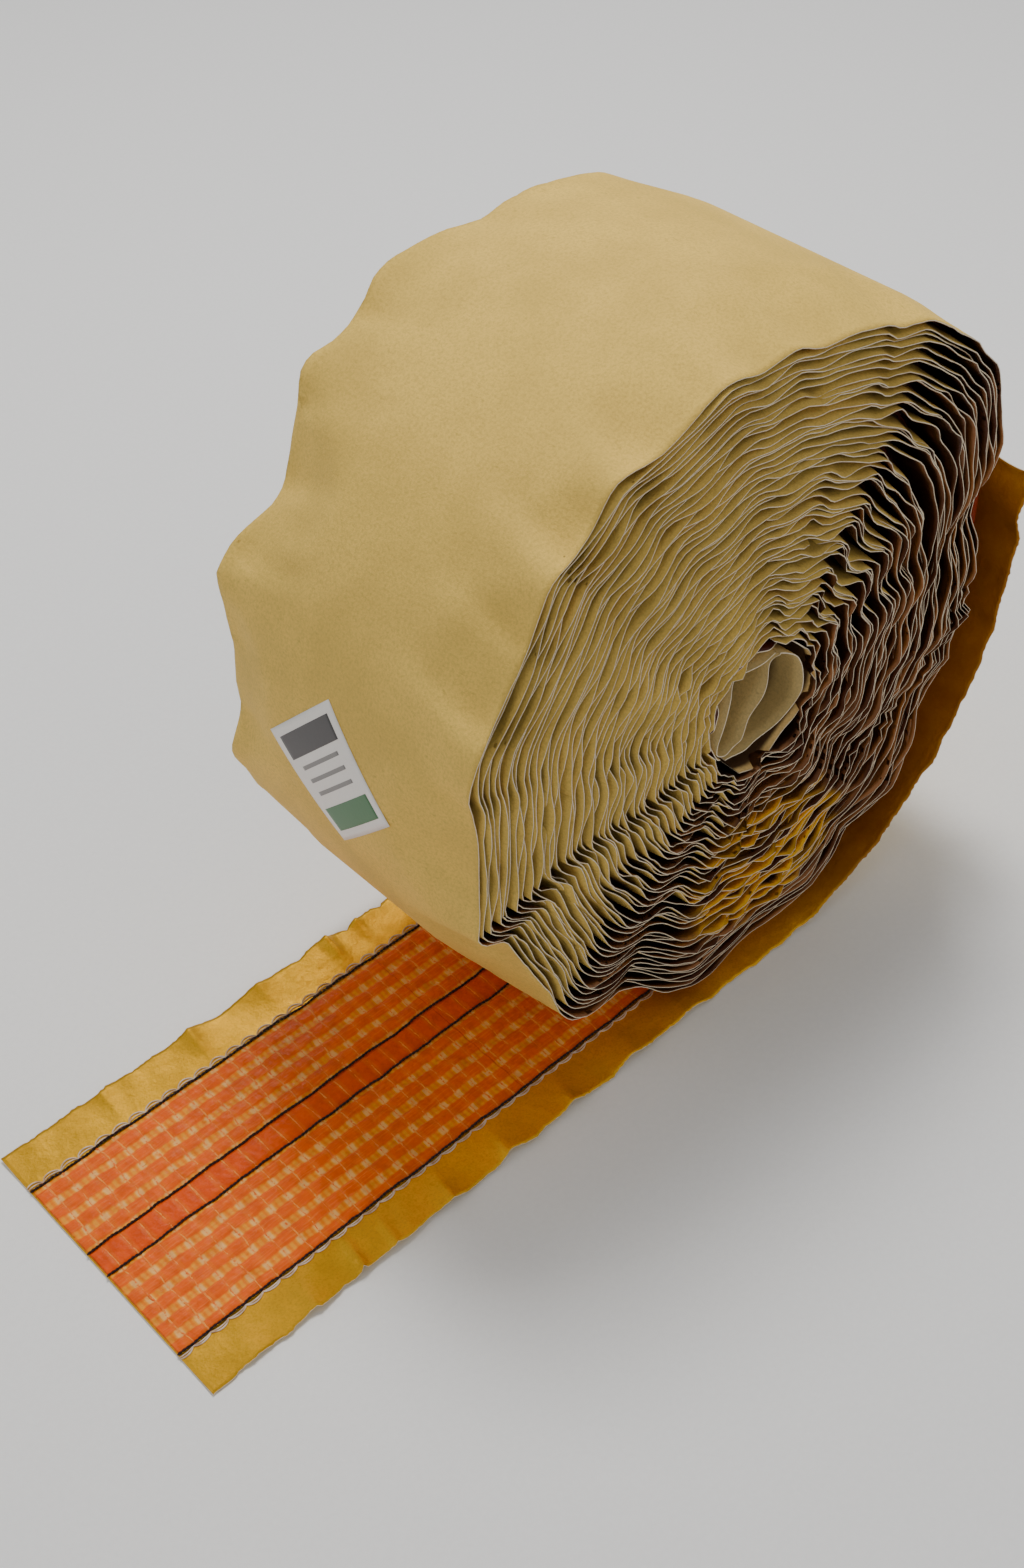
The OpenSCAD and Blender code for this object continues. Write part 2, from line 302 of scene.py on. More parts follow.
@dataclass
class Build:
    """A mesh being gathered from grids: vertices in millimetres, faces, a UV for each vertex and finishes."""

    name: str
    points: list[np.ndarray] = field(default_factory=list)
    faces: list[np.ndarray] = field(default_factory=list)
    uvs: list[np.ndarray] = field(default_factory=list)
    finishes: list[np.ndarray] = field(default_factory=list)
    flats: list[np.ndarray] = field(default_factory=list)
    total: int = 0

    def add(self, points: np.ndarray, faces: np.ndarray, uv: np.ndarray, finish: Any = 0, flat: Any = False) -> None:
        """Adds vertices with their UVs, and the faces between them, numbered from the first new vertex.

        Args:
            points: the vertices.
            faces: four vertex numbers a face; a triangle repeats its last one.
            uv: a UV for each vertex.
            finish: the number of the faces' finish, or one for each.
            flat: whether the faces are shaded flat, or that of each.
        """
        self.points.append(points.reshape(-1, 3))
        self.uvs.append(uv.reshape(-1, 2))
        self.faces.append(faces + self.total)
        self.finishes.append(np.broadcast_to(np.asarray(finish, np.int32), (len(faces),)))
        self.flats.append(np.broadcast_to(np.asarray(flat, bool), (len(faces),)))
        self.total += len(self.points[-1])

    def slab(self, top: np.ndarray, bottom: np.ndarray, uv: np.ndarray, finishes: Sequence[int]) -> None:
        """Adds a closed sheet between two grids of the same size.

        Args:
            top: the outer surface, rows by columns by 3; its normal is (along rows) x (along columns), reversed.
            bottom: the inner surface, the same way round.
            uv: rows by columns by 2.
            finishes: the finish of the top, the bottom and the rim.
        """
        rows, columns = top.shape[:2]
        count = rows * columns
        both = np.concatenate([top.reshape(-1, 3), bottom.reshape(-1, 3)])
        face = quads(rows, columns)
        grid = np.arange(count).reshape(rows, columns)
        rim = np.concatenate([grid[0, :-1], grid[:-1, -1], grid[-1, :0:-1], grid[:0:-1, 0]])
        after = np.roll(rim, -1)
        wall = np.stack([rim, after, after + count, rim + count], -1)
        faces = np.concatenate([face[:, ::-1], face + count, wall])
        spans = [len(face), len(face), len(wall)]
        self.add(both, faces, np.concatenate([uv.reshape(-1, 2)] * 2), np.repeat(np.asarray(finishes), spans),
                 np.repeat([False, False, True], spans))

    def tubes(self, paths: np.ndarray, side: np.ndarray, up: np.ndarray, across: Any, high: Any, uv: np.ndarray,
              sides: int) -> None:
        """Adds closed tubes with oval sections.

        A section is path + side across cos(a) + up high sin(a), with a once round.

        Args:
            paths: tubes by places by 3.
            side: direction of the section's width, broadcast to paths.
            up: direction of the section's height, broadcast to paths.
            across: half width, a number or tubes by places.
            high: half height, the same.
            uv: tubes by places by 2.
            sides: corners of a section.
        """
        tubes, places = paths.shape[:2]
        a = np.arange(sides) * 2 * np.pi / sides
        wide = np.broadcast_to(np.asarray(across, float), (tubes, places))[..., None, None]
        tall = np.broadcast_to(np.asarray(high, float), (tubes, places))[..., None, None]
        side = np.broadcast_to(side, paths.shape)[:, :, None, :]
        up = np.broadcast_to(up, paths.shape)[:, :, None, :]
        rings = paths[:, :, None, :] + side * wide * np.cos(a)[:, None] + up * tall * np.sin(a)[:, None]
        ring_uv = np.broadcast_to(uv[:, :, None, :], rings.shape[:3] + (2,))
        body = quads(places, sides, closed=True)
        tips = np.arange(sides)
        for t in range(tubes):
            ends = np.stack([rings[t, 0].mean(0), rings[t, -1].mean(0)])
            points = np.concatenate([rings[t].reshape(-1, 3), ends])
            first, last = places * sides, places * sides + 1
            low = np.stack([tips, np.roll(tips, -1), np.full(sides, first), np.full(sides, first)], -1)
            top = tips + (places - 1) * sides
            high_cap = np.stack([np.roll(top, -1), top, np.full(sides, last), np.full(sides, last)], -1)
            tube_uv = np.concatenate([ring_uv[t].reshape(-1, 2), uv[t, :1], uv[t, -1:]])
            self.add(points, np.concatenate([body[:, ::-1], low[:, ::-1], high_cap[:, ::-1]]), tube_uv)

    def finish(self, looks: Sequence[bpy.types.Material]) -> bpy.types.Object:
        """Makes the Blender object, in metres, at the origin, with its UV map and its finishes."""
        points = np.concatenate(self.points) * MM
        faces = np.concatenate(self.faces)
        uv = np.concatenate(self.uvs)
        mesh = bpy.data.meshes.new(self.name)
        triangle = faces[:, 2] == faces[:, 3]
        sizes = np.where(triangle, 3, 4)
        keep = np.ones(faces.shape, bool)
        keep[triangle, 3] = False
        corners = faces[keep]
        mesh.vertices.add(len(points))
        mesh.vertices.foreach_set("co", points.astype(np.float32).ravel())
        mesh.loops.add(len(corners))
        mesh.loops.foreach_set("vertex_index", corners.astype(np.int32))
        mesh.polygons.add(len(faces))
        mesh.polygons.foreach_set("loop_start", np.concatenate([[0], np.cumsum(sizes)[:-1]]).astype(np.int32))
        mesh.polygons.foreach_set("use_smooth", ~np.concatenate(self.flats))
        mesh.polygons.foreach_set("material_index", np.concatenate(self.finishes).astype(np.int32))
        layer = mesh.uv_layers.new(name="UVMap")
        layer.data.foreach_set("uv", uv[corners].astype(np.float32).ravel())
        mesh.update(calc_edges=True)
        mesh.validate()
        for look in looks:
            mesh.materials.append(look)
        piece = bpy.data.objects.new(self.name, mesh)
        bpy.context.scene.collection.objects.link(piece)
        LOG.info("%s: %d faces", self.name, len(faces))
        return piece


# ---------------------------------------------------------------- shader mathematics


OBJECT_OUTPUT = 3  # the Object output of a Texture Coordinate node


@dataclass(frozen=True)
class Wire:
    """A shader socket that can be used like a number; an expression adds its Math nodes."""

    shader: "Shader"
    socket: bpy.types.NodeSocket

    def __add__(self, other: Any) -> "Wire":
        """Sum."""
        return self.shader.math("ADD", self, other)

    def __sub__(self, other: Any) -> "Wire":
        """Difference."""
        return self.shader.math("SUBTRACT", self, other)

    def __rsub__(self, other: Any) -> "Wire":
        """Difference from a number."""
        return self.shader.math("SUBTRACT", other, self)

    def __mul__(self, other: Any) -> "Wire":
        """Product."""
        return self.shader.math("MULTIPLY", self, other)

    __radd__ = __add__
    __rmul__ = __mul__

    def fold(self, period: float) -> "Wire":
        """Distance to the nearest multiple of period."""
        return self.shader.math("PINGPONG", self, period / 2)

    def step(self, low: float, high: float) -> "Wire":
        """A smooth step from 0 at low to 1 at high; low may be the greater."""
        return self.shader.node("MapRange", {"Value": self, "From Min": low, "From Max": high},
                                interpolation_type="SMOOTHSTEP")[0]


@dataclass
class Shader:
    """The node tree of one finish."""

    name: str

    def __post_init__(self) -> None:
        """Makes the material with its Principled shader."""
        self.material = bpy.data.materials.new(self.name)
        self.material.use_nodes = True
        self.tree = self.material.node_tree
        self.surface = next(n for n in self.tree.nodes if n.type == "BSDF_PRINCIPLED")

    def node(self, kind: str, inputs: dict[Any, Any], **settings: Any) -> list["Wire"]:
        """Adds a node.

        Args:
            kind: the node's type, without ShaderNode.
            inputs: values or wires of its sockets, by name or number.
            settings: the node's own properties, set first.

        Returns:
            Its outputs, as wires.
        """
        made = self.tree.nodes.new(f"ShaderNode{kind}")
        for key, value in settings.items():
            setattr(made, key, value)
        for key, value in inputs.items():
            self.feed(made.inputs[key], value)
        return [Wire(self, socket) for socket in made.outputs]

    def feed(self, socket: bpy.types.NodeSocket, value: Any) -> None:
        """Links a wire to a socket, or sets the socket's value."""
        if isinstance(value, Wire):
            self.tree.links.new(value.socket, socket)
        elif isinstance(value, tuple) and len(value) == 3 and socket.type == "RGBA":
            socket.default_value = (*value, 1.0)
        else:
            socket.default_value = value

    def math(self, operation: str, *values: Any) -> Wire:
        """A Math node on the values."""
        return self.node("Math", dict(enumerate(values)), operation=operation)[0]

    def mix(self, share: Any, first: Any, second: Any) -> Wire:
        """The colour between first, at share 0, and second, at share 1."""
        return self.node("Mix", {0: share, 6: first, 7: second}, data_type="RGBA")[2]

    def place(self) -> Wire:
        """Object coordinates in millimetres."""
        source = self.node("TexCoord", {})[OBJECT_OUTPUT]
        return self.node("Mapping", {"Vector": source, "Scale": (1 / MM,) * 3})[0]

    def plane(self) -> tuple[Wire, Wire]:
        """The x and z of a point, in millimetres."""
        x, _, z = self.node("SeparateXYZ", {0: self.place()})
        return x, z

    def uv(self) -> tuple[Wire, Wire, Wire]:
        """The piece's UV map, in millimetres: along the tape, across it, and both as a vector."""
        flat = self.node("UVMap", {}, uv_map="UVMap")[0]
        along, across, _ = self.node("SeparateXYZ", {0: flat})
        return along, across, flat

    def noise(self, where: Wire, size: float, detail: float = 3.0, rough: float = 0.55) -> Wire:
        """Noise whose features are about size millimetres across, from 0 to 1."""
        return self.node("TexNoise", {"Vector": where, "Scale": 1.0 / size, "Detail": detail, "Roughness": rough})[0]

    def stretched(self, where: Wire, scale: Triple) -> Wire:
        """The vector where, with its parts multiplied by scale."""
        return self.node("VectorMath", {0: where, 1: scale}, operation="MULTIPLY")[0]

    def bump(self, height: Wire, depth: float, below: Wire | None = None) -> Wire:
        """A normal from a height of 0 to 1 that stands for depth millimetres."""
        inputs: dict[Any, Any] = {"Height": height, "Distance": depth * MM, "Strength": 1.0}
        if below is not None:
            inputs["Normal"] = below
        return self.node("Bump", inputs)[0]

    def close(self, **inputs: Any) -> bpy.types.Material:
        """Feeds the Principled shader; underscores in a name stand for spaces."""
        for key, value in inputs.items():
            self.feed(self.surface.inputs[key.replace("_", " ")], value)
        return self.material


def shade(colour: Colour, share: float) -> Colour:
    """A colour with every part multiplied by share."""
    return tuple(min(1.0, part * share) for part in colour)


# ---------------------------------------------------------------- finishes


@dataclass(frozen=True)
class KraftPaper:
    """Matt crepe kraft paper: tan, with fine fibres, faint cross wrinkles and darker flecks.

    Inside the coil it is painted darker towards the band, as painted shade deep in the gaps between the turns and in
    the eye. The span field holds where across the tape the painted shade starts and where it is full, and patches
    how many millimetres its edge wanders.
    """

    name: str
    painted_shade_span: tuple[float, float] | None = None
    patches: float = 5.0
    tan: Colour = (0.82, 0.550, 0.122)
    # painted shade colour, deep in the coil's gaps and in the eye
    painted_shade: Colour = (0.085, 0.033, 0.012)
    roughness: float = 0.80

    def material(self) -> bpy.types.Material:
        """Builds the finish."""
        s = Shader(self.name)
        where = s.place()
        cloud = s.noise(where, 24.0, 2.0)
        grain = s.noise(where, 0.8, 4.0, 0.7)
        fleck = s.noise(s.stretched(where, (1.0, 0.35, 1.0)), 1.1, 2.0)
        crepe = s.noise(s.stretched(where, (1.0, 0.22, 1.0)), 1.3, 3.0, 0.6)
        base = s.mix(cloud.step(0.3, 0.7), shade(self.tan, 0.90), shade(self.tan, 1.05))
        base = s.mix(grain.step(0.35, 0.75) * 0.55, base, shade(self.tan, 0.58))
        base = s.mix(fleck.step(0.64, 0.80) * 0.35, base, shade(self.tan, 0.42))
        # painted shade: towards the band the paper is painted dark, for the shade deep in the coil's gaps and in the
        # eye
        if self.painted_shade_span:
            _, across, flat = s.uv()
            patch = s.noise(s.stretched(flat, (0.4, 1.0, 1.0)), 9.0, 3.0).step(0.25, 0.75)
            depth = s.math("ABSOLUTE", across) + patch * self.patches
            base = s.mix(depth.step(*self.painted_shade_span) * 0.94, base, self.painted_shade)
        normal = s.bump(crepe, 0.09, s.bump(grain, 0.16))
        return s.close(Base_Color=base, Roughness=self.roughness - grain * 0.12, Normal=normal,
                       Specular_IOR_Level=0.25)


@dataclass(frozen=True)
class GoldCoat:
    """Satin gold release coat on paper: a thin metallic lacquer with a fine grain and soft smudges.

    Up the loose wrap it is painted bronze, as painted shade. Inside the coil it is painted dark brown and near black,
    as painted shade, but for a painted lit patch low on the faces, whose middle (x, z) and half sizes, in millimetres,
    are held by the two patch fields.
    """

    name: str
    wound: bool = False
    # where the painted lit patch sits inside the coil, and how large it is
    lit_patch_middle: tuple[float, float] = (8.0, 42.0)
    lit_patch_half: tuple[float, float] = (42.0, 27.0)
    gold: Colour = (0.92, 0.500, 0.024)
    deep: Colour = (0.50, 0.200, 0.012)
    # painted shade colour of the gold up the loose wrap
    wrap_shade_bronze: Colour = (0.30, 0.105, 0.016)
    # painted shade inside the coil: near black, and brown on some sheets near the paper's edge
    painted_shade: Colour = (0.070, 0.022, 0.010)
    painted_shade_brown: Colour = (0.34, 0.150, 0.062)
    metallic: float = 0.85

    def material(self) -> bpy.types.Material:
        """Builds the finish."""
        s = Shader(self.name)
        where = s.place()
        grain = s.noise(where, 0.7, 4.0, 0.7)
        smudge = s.noise(where, 11.0, 3.0)
        base = s.mix(smudge.step(0.35, 0.7) * 0.5, self.gold, shade(self.gold, 0.74))
        base = s.mix(grain.step(0.4, 0.75) * 0.40, base, self.deep)
        along, across, flat = s.uv()
        # painted light and shade: inside the coil the gold is painted dark as shade, brown on some sheets near the
        # edge, and keeps its own gold only in a painted lit patch low on the face
        if self.wound:
            x, z = ((w - middle) * (1 / half) for w, middle, half in zip(s.plane(), self.lit_patch_middle, self.lit_patch_half))
            low = (x * x + z * z + s.noise(flat, 10.0, 2.0) * 1.2).step(1.45, 0.95)
            sheet = s.noise(s.stretched(flat, (0.22, 0.6, 1.0)), 8.0, 2.0)
            near = (s.math("ABSOLUTE", across) + sheet * 4.0).step(46.0, 50.0)
            dark = s.mix(sheet.step(0.42, 0.68) * near, self.painted_shade, self.painted_shade_brown)
            base = s.mix(low * near * sheet.step(0.38, 0.52), dark, base)
        else:
            # painted shade: up the loose wrap the gold is painted bronze
            base = s.mix(along.step(4.0, 60.0) * (0.72 + smudge * 0.25), base, self.wrap_shade_bronze)
        normal = s.bump(s.noise(where, 4.0, 2.0), 0.30, s.bump(grain, 0.08))
        return s.close(Base_Color=base, Roughness=0.34 + smudge * 0.18, Metallic=self.metallic, Normal=normal,
                       Specular_IOR_Level=0.5)


@dataclass(frozen=True)
class CutEdge:
    """The cut edge of the paper, with loose fibres, painted a pale cream: partly its own paler fibres, partly painted
    highlight.
    """

    name: str = "cut_paper_edge"
    # pale cream: partly the cut paper's own colour, partly a painted highlight along the thin edges
    cream: Colour = (0.92, 0.76, 0.55)

    def material(self) -> bpy.types.Material:
        """Builds the finish."""
        s = Shader(self.name)
        grain = s.noise(s.place(), 1.2, 3.0)
        return s.close(Base_Color=s.mix(grain, shade(self.cream, 0.60), shade(self.cream, 1.15)), Roughness=0.85,
                       Normal=s.bump(grain, 0.05))


@dataclass(frozen=True)
class HotMelt:
    """Glossy orange hot-melt adhesive over a bedded scrim.

    Across the tape the beads are red-orange and the valleys amber; cream dots show where a crosswise yarn passes
    over a lengthwise one, and the crosswise yarns show faintly through the beads. A faint painted shade line runs
    down each valley's middle, and from 34 to 48 mm past where the strip leaves the floor the band is painted dark,
    as shade between the loose wrap and the roll.
    """

    name: str = "hot_melt_band"
    bead: Colour = (0.80, 0.108, 0.003)
    salmon: Colour = (0.90, 0.190, 0.030)
    valley: Colour = (0.86, 0.230, 0.007)
    amber: Colour = (0.90, 0.400, 0.030)
    cream: Colour = (0.90, 0.560, 0.210)
    channel: Colour = (0.74, 0.080, 0.003)
    # painted shade colour: a line down the valleys and the band under the loose wrap; it also darkens random patches
    dark: Colour = (0.26, 0.022, 0.002)

    def material(self) -> bpy.types.Material:
        """Builds the finish from lanes across the tape and stitches along it."""
        s = Shader(self.name)
        along, across, flat = s.uv()
        wobble = (s.noise(flat, 9.0, 2.0) - 0.5) * 1.6
        far = (across - (FAR_GUIDE + FIRST_BEAD) + wobble).fold(BEAD_PITCH)
        near = (across - (NEAR_GUIDE - FIRST_BEAD) + wobble).fold(BEAD_PITCH)
        side = across.step(0.0, 1.0)
        lane = (far * side + near * (1.0 - side)).step(1.75, 2.55)
        shift = (s.noise(flat, 12.0, 1.0) - 0.5) * 1.6
        yarn = (along + shift).fold(STITCH).step(1.35, 0.75)
        cell = (along + shift).fold(STITCH / 3).step(0.1, 0.75)
        outside = 1.0 - across.step(NEAR_GUIDE - 0.3, NEAR_GUIDE + 0.1) * across.step(FAR_GUIDE + 0.3, FAR_GUIDE - 0.1)
        patches = s.noise(flat, 4.5, 3.0)
        streak = s.noise(s.stretched(flat, (0.10, 1.0, 1.0)), 0.7, 3.0)
        red = s.mix(streak.step(0.45, 0.72) * 0.75, self.bead, self.salmon)
        gold = s.mix(cell * (0.35 + patches * 0.6), self.valley, self.amber)
        base = s.mix(lane * outside * 0.9, red, gold)
        channel = s.mix(patches.step(0.5, 0.75) * 0.6, self.channel, self.bead)
        base = s.mix(outside, channel, base)
        faint = s.noise(flat, 3.1, 2.0).step(0.22, 0.46)
        dots = lane * outside * yarn * faint * 0.8
        base = s.mix(yarn * 0.10, base, self.amber)
        base = s.mix(dots * 0.75, base, self.cream)
        # painted shade: a faint dark line down the middle of each valley
        shade_line = far.step(2.6, 3.4) * side + near.step(2.6, 3.4) * (1.0 - side)
        base = s.mix(shade_line * outside * (1.0 - yarn) * 0.10, base, self.dark)
        base = s.mix(patches.step(0.62, 0.30) * 0.25, base, self.dark)
        # painted shade: the band is painted dark from 34 mm past the lifting line on, between the loose wrap and the
        # roll
        base = s.mix(along.step(34.0, 48.0) * 0.9, base, self.dark)
        normal = s.bump(streak, 0.16, s.bump(s.noise(flat, 2.0, 3.0), 0.35))
        return s.close(Base_Color=base, Roughness=0.26 + patches * 0.22, Normal=normal, Specular_IOR_Level=0.16,
                       Coat_Weight=0.06, Coat_Roughness=0.12)


@dataclass(frozen=True)
class WoundMelt:
    """The coil's adhesive between the turns, painted dark brown as shade deep in the gaps; the band itself is orange.
    """

    name: str = "hot_melt_wound"
    # painted shade: the orange adhesive painted dark brown in the coil's gaps
    gap_shade_brown: Colour = (0.11, 0.018, 0.005)

    def material(self) -> bpy.types.Material:
        """Builds the finish."""
        s = Shader(self.name)
        lump = s.noise(s.place(), 2.5, 2.0)
        return s.close(Base_Color=s.mix(lump, shade(self.gap_shade_brown, 0.6), shade(self.gap_shade_brown, 1.5)), Roughness=0.35,
                       Normal=s.bump(lump, 0.3))


@dataclass(frozen=True)
class Yarn:
    """Flat scrim yarn or sewing thread, with fine twisted fibres and uneven colour along its length."""

    name: str
    light: Colour
    dark: Colour
    fibre: float = 0.25
    roughness: float = 0.6

    def material(self) -> bpy.types.Material:
        """Builds the finish."""
        s = Shader(self.name)
        where = s.place()
        patch = s.noise(where, 2.4, 2.0)
        hair = s.noise(s.stretched(where, (0.5, 1.0, 1.0)), self.fibre, 2.0)
        base = s.mix(patch.step(0.35, 0.68), self.light, self.dark)
        base = s.mix(hair.step(0.45, 0.7) * 0.4, base, shade(self.dark, 0.7))
        return s.close(Base_Color=base, Roughness=self.roughness, Normal=s.bump(hair, 0.06))


@dataclass(frozen=True)
class Print:
    """Matt ink or coated label paper with a faint mottle."""

    name: str
    ink: Colour
    roughness: float = 0.5

    def material(self) -> bpy.types.Material:
        """Builds the finish."""
        s = Shader(self.name)
        where = s.place()
        mottle = s.noise(where, 1.6, 3.0)
        speck = s.noise(where, 0.35, 2.0)
        base = s.mix(mottle * 0.5, self.ink, shade(self.ink, 0.86))
        base = s.mix(speck.step(0.62, 0.75) * 0.2, base, shade(self.ink, 0.75))
        return s.close(Base_Color=base, Roughness=self.roughness, Normal=s.bump(mottle, 0.04))


class Finish(Enum):
    """Every finish on the object."""

    KRAFT = KraftPaper("kraft_paper")
    # The wound and leader kraft finishes are painted darker towards the band: painted shade in the coil's gaps and the
    # eye.
    WOUND_KRAFT = KraftPaper("kraft_paper_wound", (51.2, 44.0))
    # the leader's loops take a darker, greyer tan than the outer kraft: painted shade inside the eye
    LEADER_KRAFT = KraftPaper("kraft_paper_leader", (42.0, 35.0), 1.0, (0.64, 0.470, 0.190), (0.045, 0.014, 0.007))
    LEADER_GOLD = KraftPaper("gold_paper_leader", (47.4, 45.6), 0.6, (0.90, 0.610, 0.230), (0.045, 0.014, 0.007))
    GOLD = GoldCoat("gold_coat")
    WOUND_GOLD = GoldCoat("gold_coat_wound", True)
    EDGE = CutEdge()
    BAND = HotMelt()
    WOUND = WoundMelt()
    WEFT = Yarn("scrim_weft", (0.88, 0.32, 0.050), (0.80, 0.125, 0.006))
    THREAD = Yarn("dark_thread", (0.030, 0.010, 0.010), (0.008, 0.004, 0.005), 0.15, 0.7)
    LOOPER = Yarn("looper_thread", (0.80, 0.66, 0.52), (0.55, 0.36, 0.22), 0.15, 0.65)
    LABEL = Print("label_paper", (0.88, 0.85, 0.80))
    GREY = Print("label_grey_print", (0.085, 0.080, 0.080))
    LINE = Print("label_line_print", (0.26, 0.25, 0.24))
    GREEN = Print("label_green_print", (0.075, 0.20, 0.085))


_made: dict[Finish, bpy.types.Material] = {}


def look(finish: Finish) -> bpy.types.Material:
    """The material of a finish, built when it is first asked for."""
    if finish not in _made:
        _made[finish] = finish.value.material()
    return _made[finish]


def sheets(name: str, layers: Iterable[tuple[np.ndarray, np.ndarray, np.ndarray]],
           *finishes: Finish) -> bpy.types.Object:
    """Makes a piece that consists of closed sheets.

    Args:
        name: the piece's name.
        layers: the top, the bottom and the UVs of each sheet, as Build.slab takes them.
        finishes: the finishes of the tops, the bottoms and the rims, or one for all three.

    Returns:
        The piece.
    """
    build = Build(name)
    kinds = list(dict.fromkeys(finishes))
    numbers = [kinds.index(f) for f in finishes] if len(finishes) > 1 else [0, 0, 0]
    for top, bottom, uv in layers:
        build.slab(top, bottom, uv, numbers)
    return build.finish([look(f) for f in kinds])


# ---------------------------------------------------------------- the wound coil


FRONT_EDGE = Outline((
    (-9, 0.2), (-3, 3.0), (6, 6.3), (13, 4.6), (20, 2.4), (26, 5.0), (31, 8.0), (37, 5.0), (42, 2.4), (50, 6.0),
    (56, 9.3), (61, 10.8), (64.5, 9.6), (67.3, 7.7), (70, 9.0), (72.5, 9.0), (76, 5.2), (80, 8.4), (86, 8.8),
    (91, 10.0), (97, 12.6), (102, 11.6), (106, 7.6), (110, 4.8), (115, 4.0), (120, 2.2), (124, 0.3), (127, -0.3),
    (131.5, 0.9), (134.5, 0.4), (140, 1.8), (144, 2.1), (150, 2.5), (153, 4.5), (155.3, 6.3), (158.7, 5.6),
    (163, 6.7), (168, 7.7), (172, 9.0), (175, 8.0), (178.7, 5.9), (183, 7.0), (185.5, 7.5), (187.5, 6.5),
    (190, 4.2), (193, 3.0), (196, 3.9), (199, 5.1), (202.5, 5.6), (206, 5.1), (208.5, 3.3), (211, 1.2),
    (213.3, 0.4), (215, 1.2), (217.5, 2.5), (220, 2.9), (223, 2.2), (225, 1.0), (226.8, 0.1), (229, 0.9),
    (232, 2.8), (236, 4.5), (240, 5.0), (245, 4.2), (249, 2.4), (252.8, 0.5), (256, 0.6), (259, 1.9),
    (261.5, 4.5), (265, 6.4), (270, 7.3), (275, 6.9), (280, 5.3), (283, 3.5), (285.6, 1.5), (288, 3.5),
    (290.5, 7.1), (293, 9.8), (297, 10.3), (302, 9.5), (308, 8.2), (312, 6.5), (315, 3.3), (318, 1.1),
    (321, 0.1), (323.5, 0.7), (326, 2.7), (329, 6.2), (332, 9.1), (336, 8.2), (340, 6.2), (345, 3.0)))
BACK_EDGE = Outline((
    (5, 5.0), (14, 1.0), (24, 5.5), (33, 6.2), (45, 0.8), (54, 4.4), (66, 4.8), (78, 0.6), (88, 5.2), (97, 6.6),
    (108, 1.0), (118, 3.6), (131, 2.2), (139, 0.4), (148, 3.4), (155, 2.6), (163, 0.2), (171, 0.6), (177, 0.7),
    (182, 1.4), (186.5, 3.3), (190, 2.3), (194, -0.2), (198, -1.3), (202, -1.7), (205.5, -1.2), (209, 0.2),
    (213, 1.2), (216, 0.4), (218.5, -1.2), (220.6, -1.6), (222.5, -0.6), (225, 2.8), (228, 5.2), (232, 7.2),
    (236.5, 8.6), (240, 7.8), (244, 4.4), (248, 0.2), (251.8, -1.7), (254, -0.7), (257, 1.8), (262, 4.0),
    (268, 5.0), (275, 5.0), (279, 2.8), (282, 0.0), (284.5, -0.9), (288, 0.2), (293, 0.4), (299, 3.8),
    (306, 5.4), (313, 1.2), (319, 0.2), (327, 5.0), (336, 6.8), (345, 2.2), (353, 1.2)))


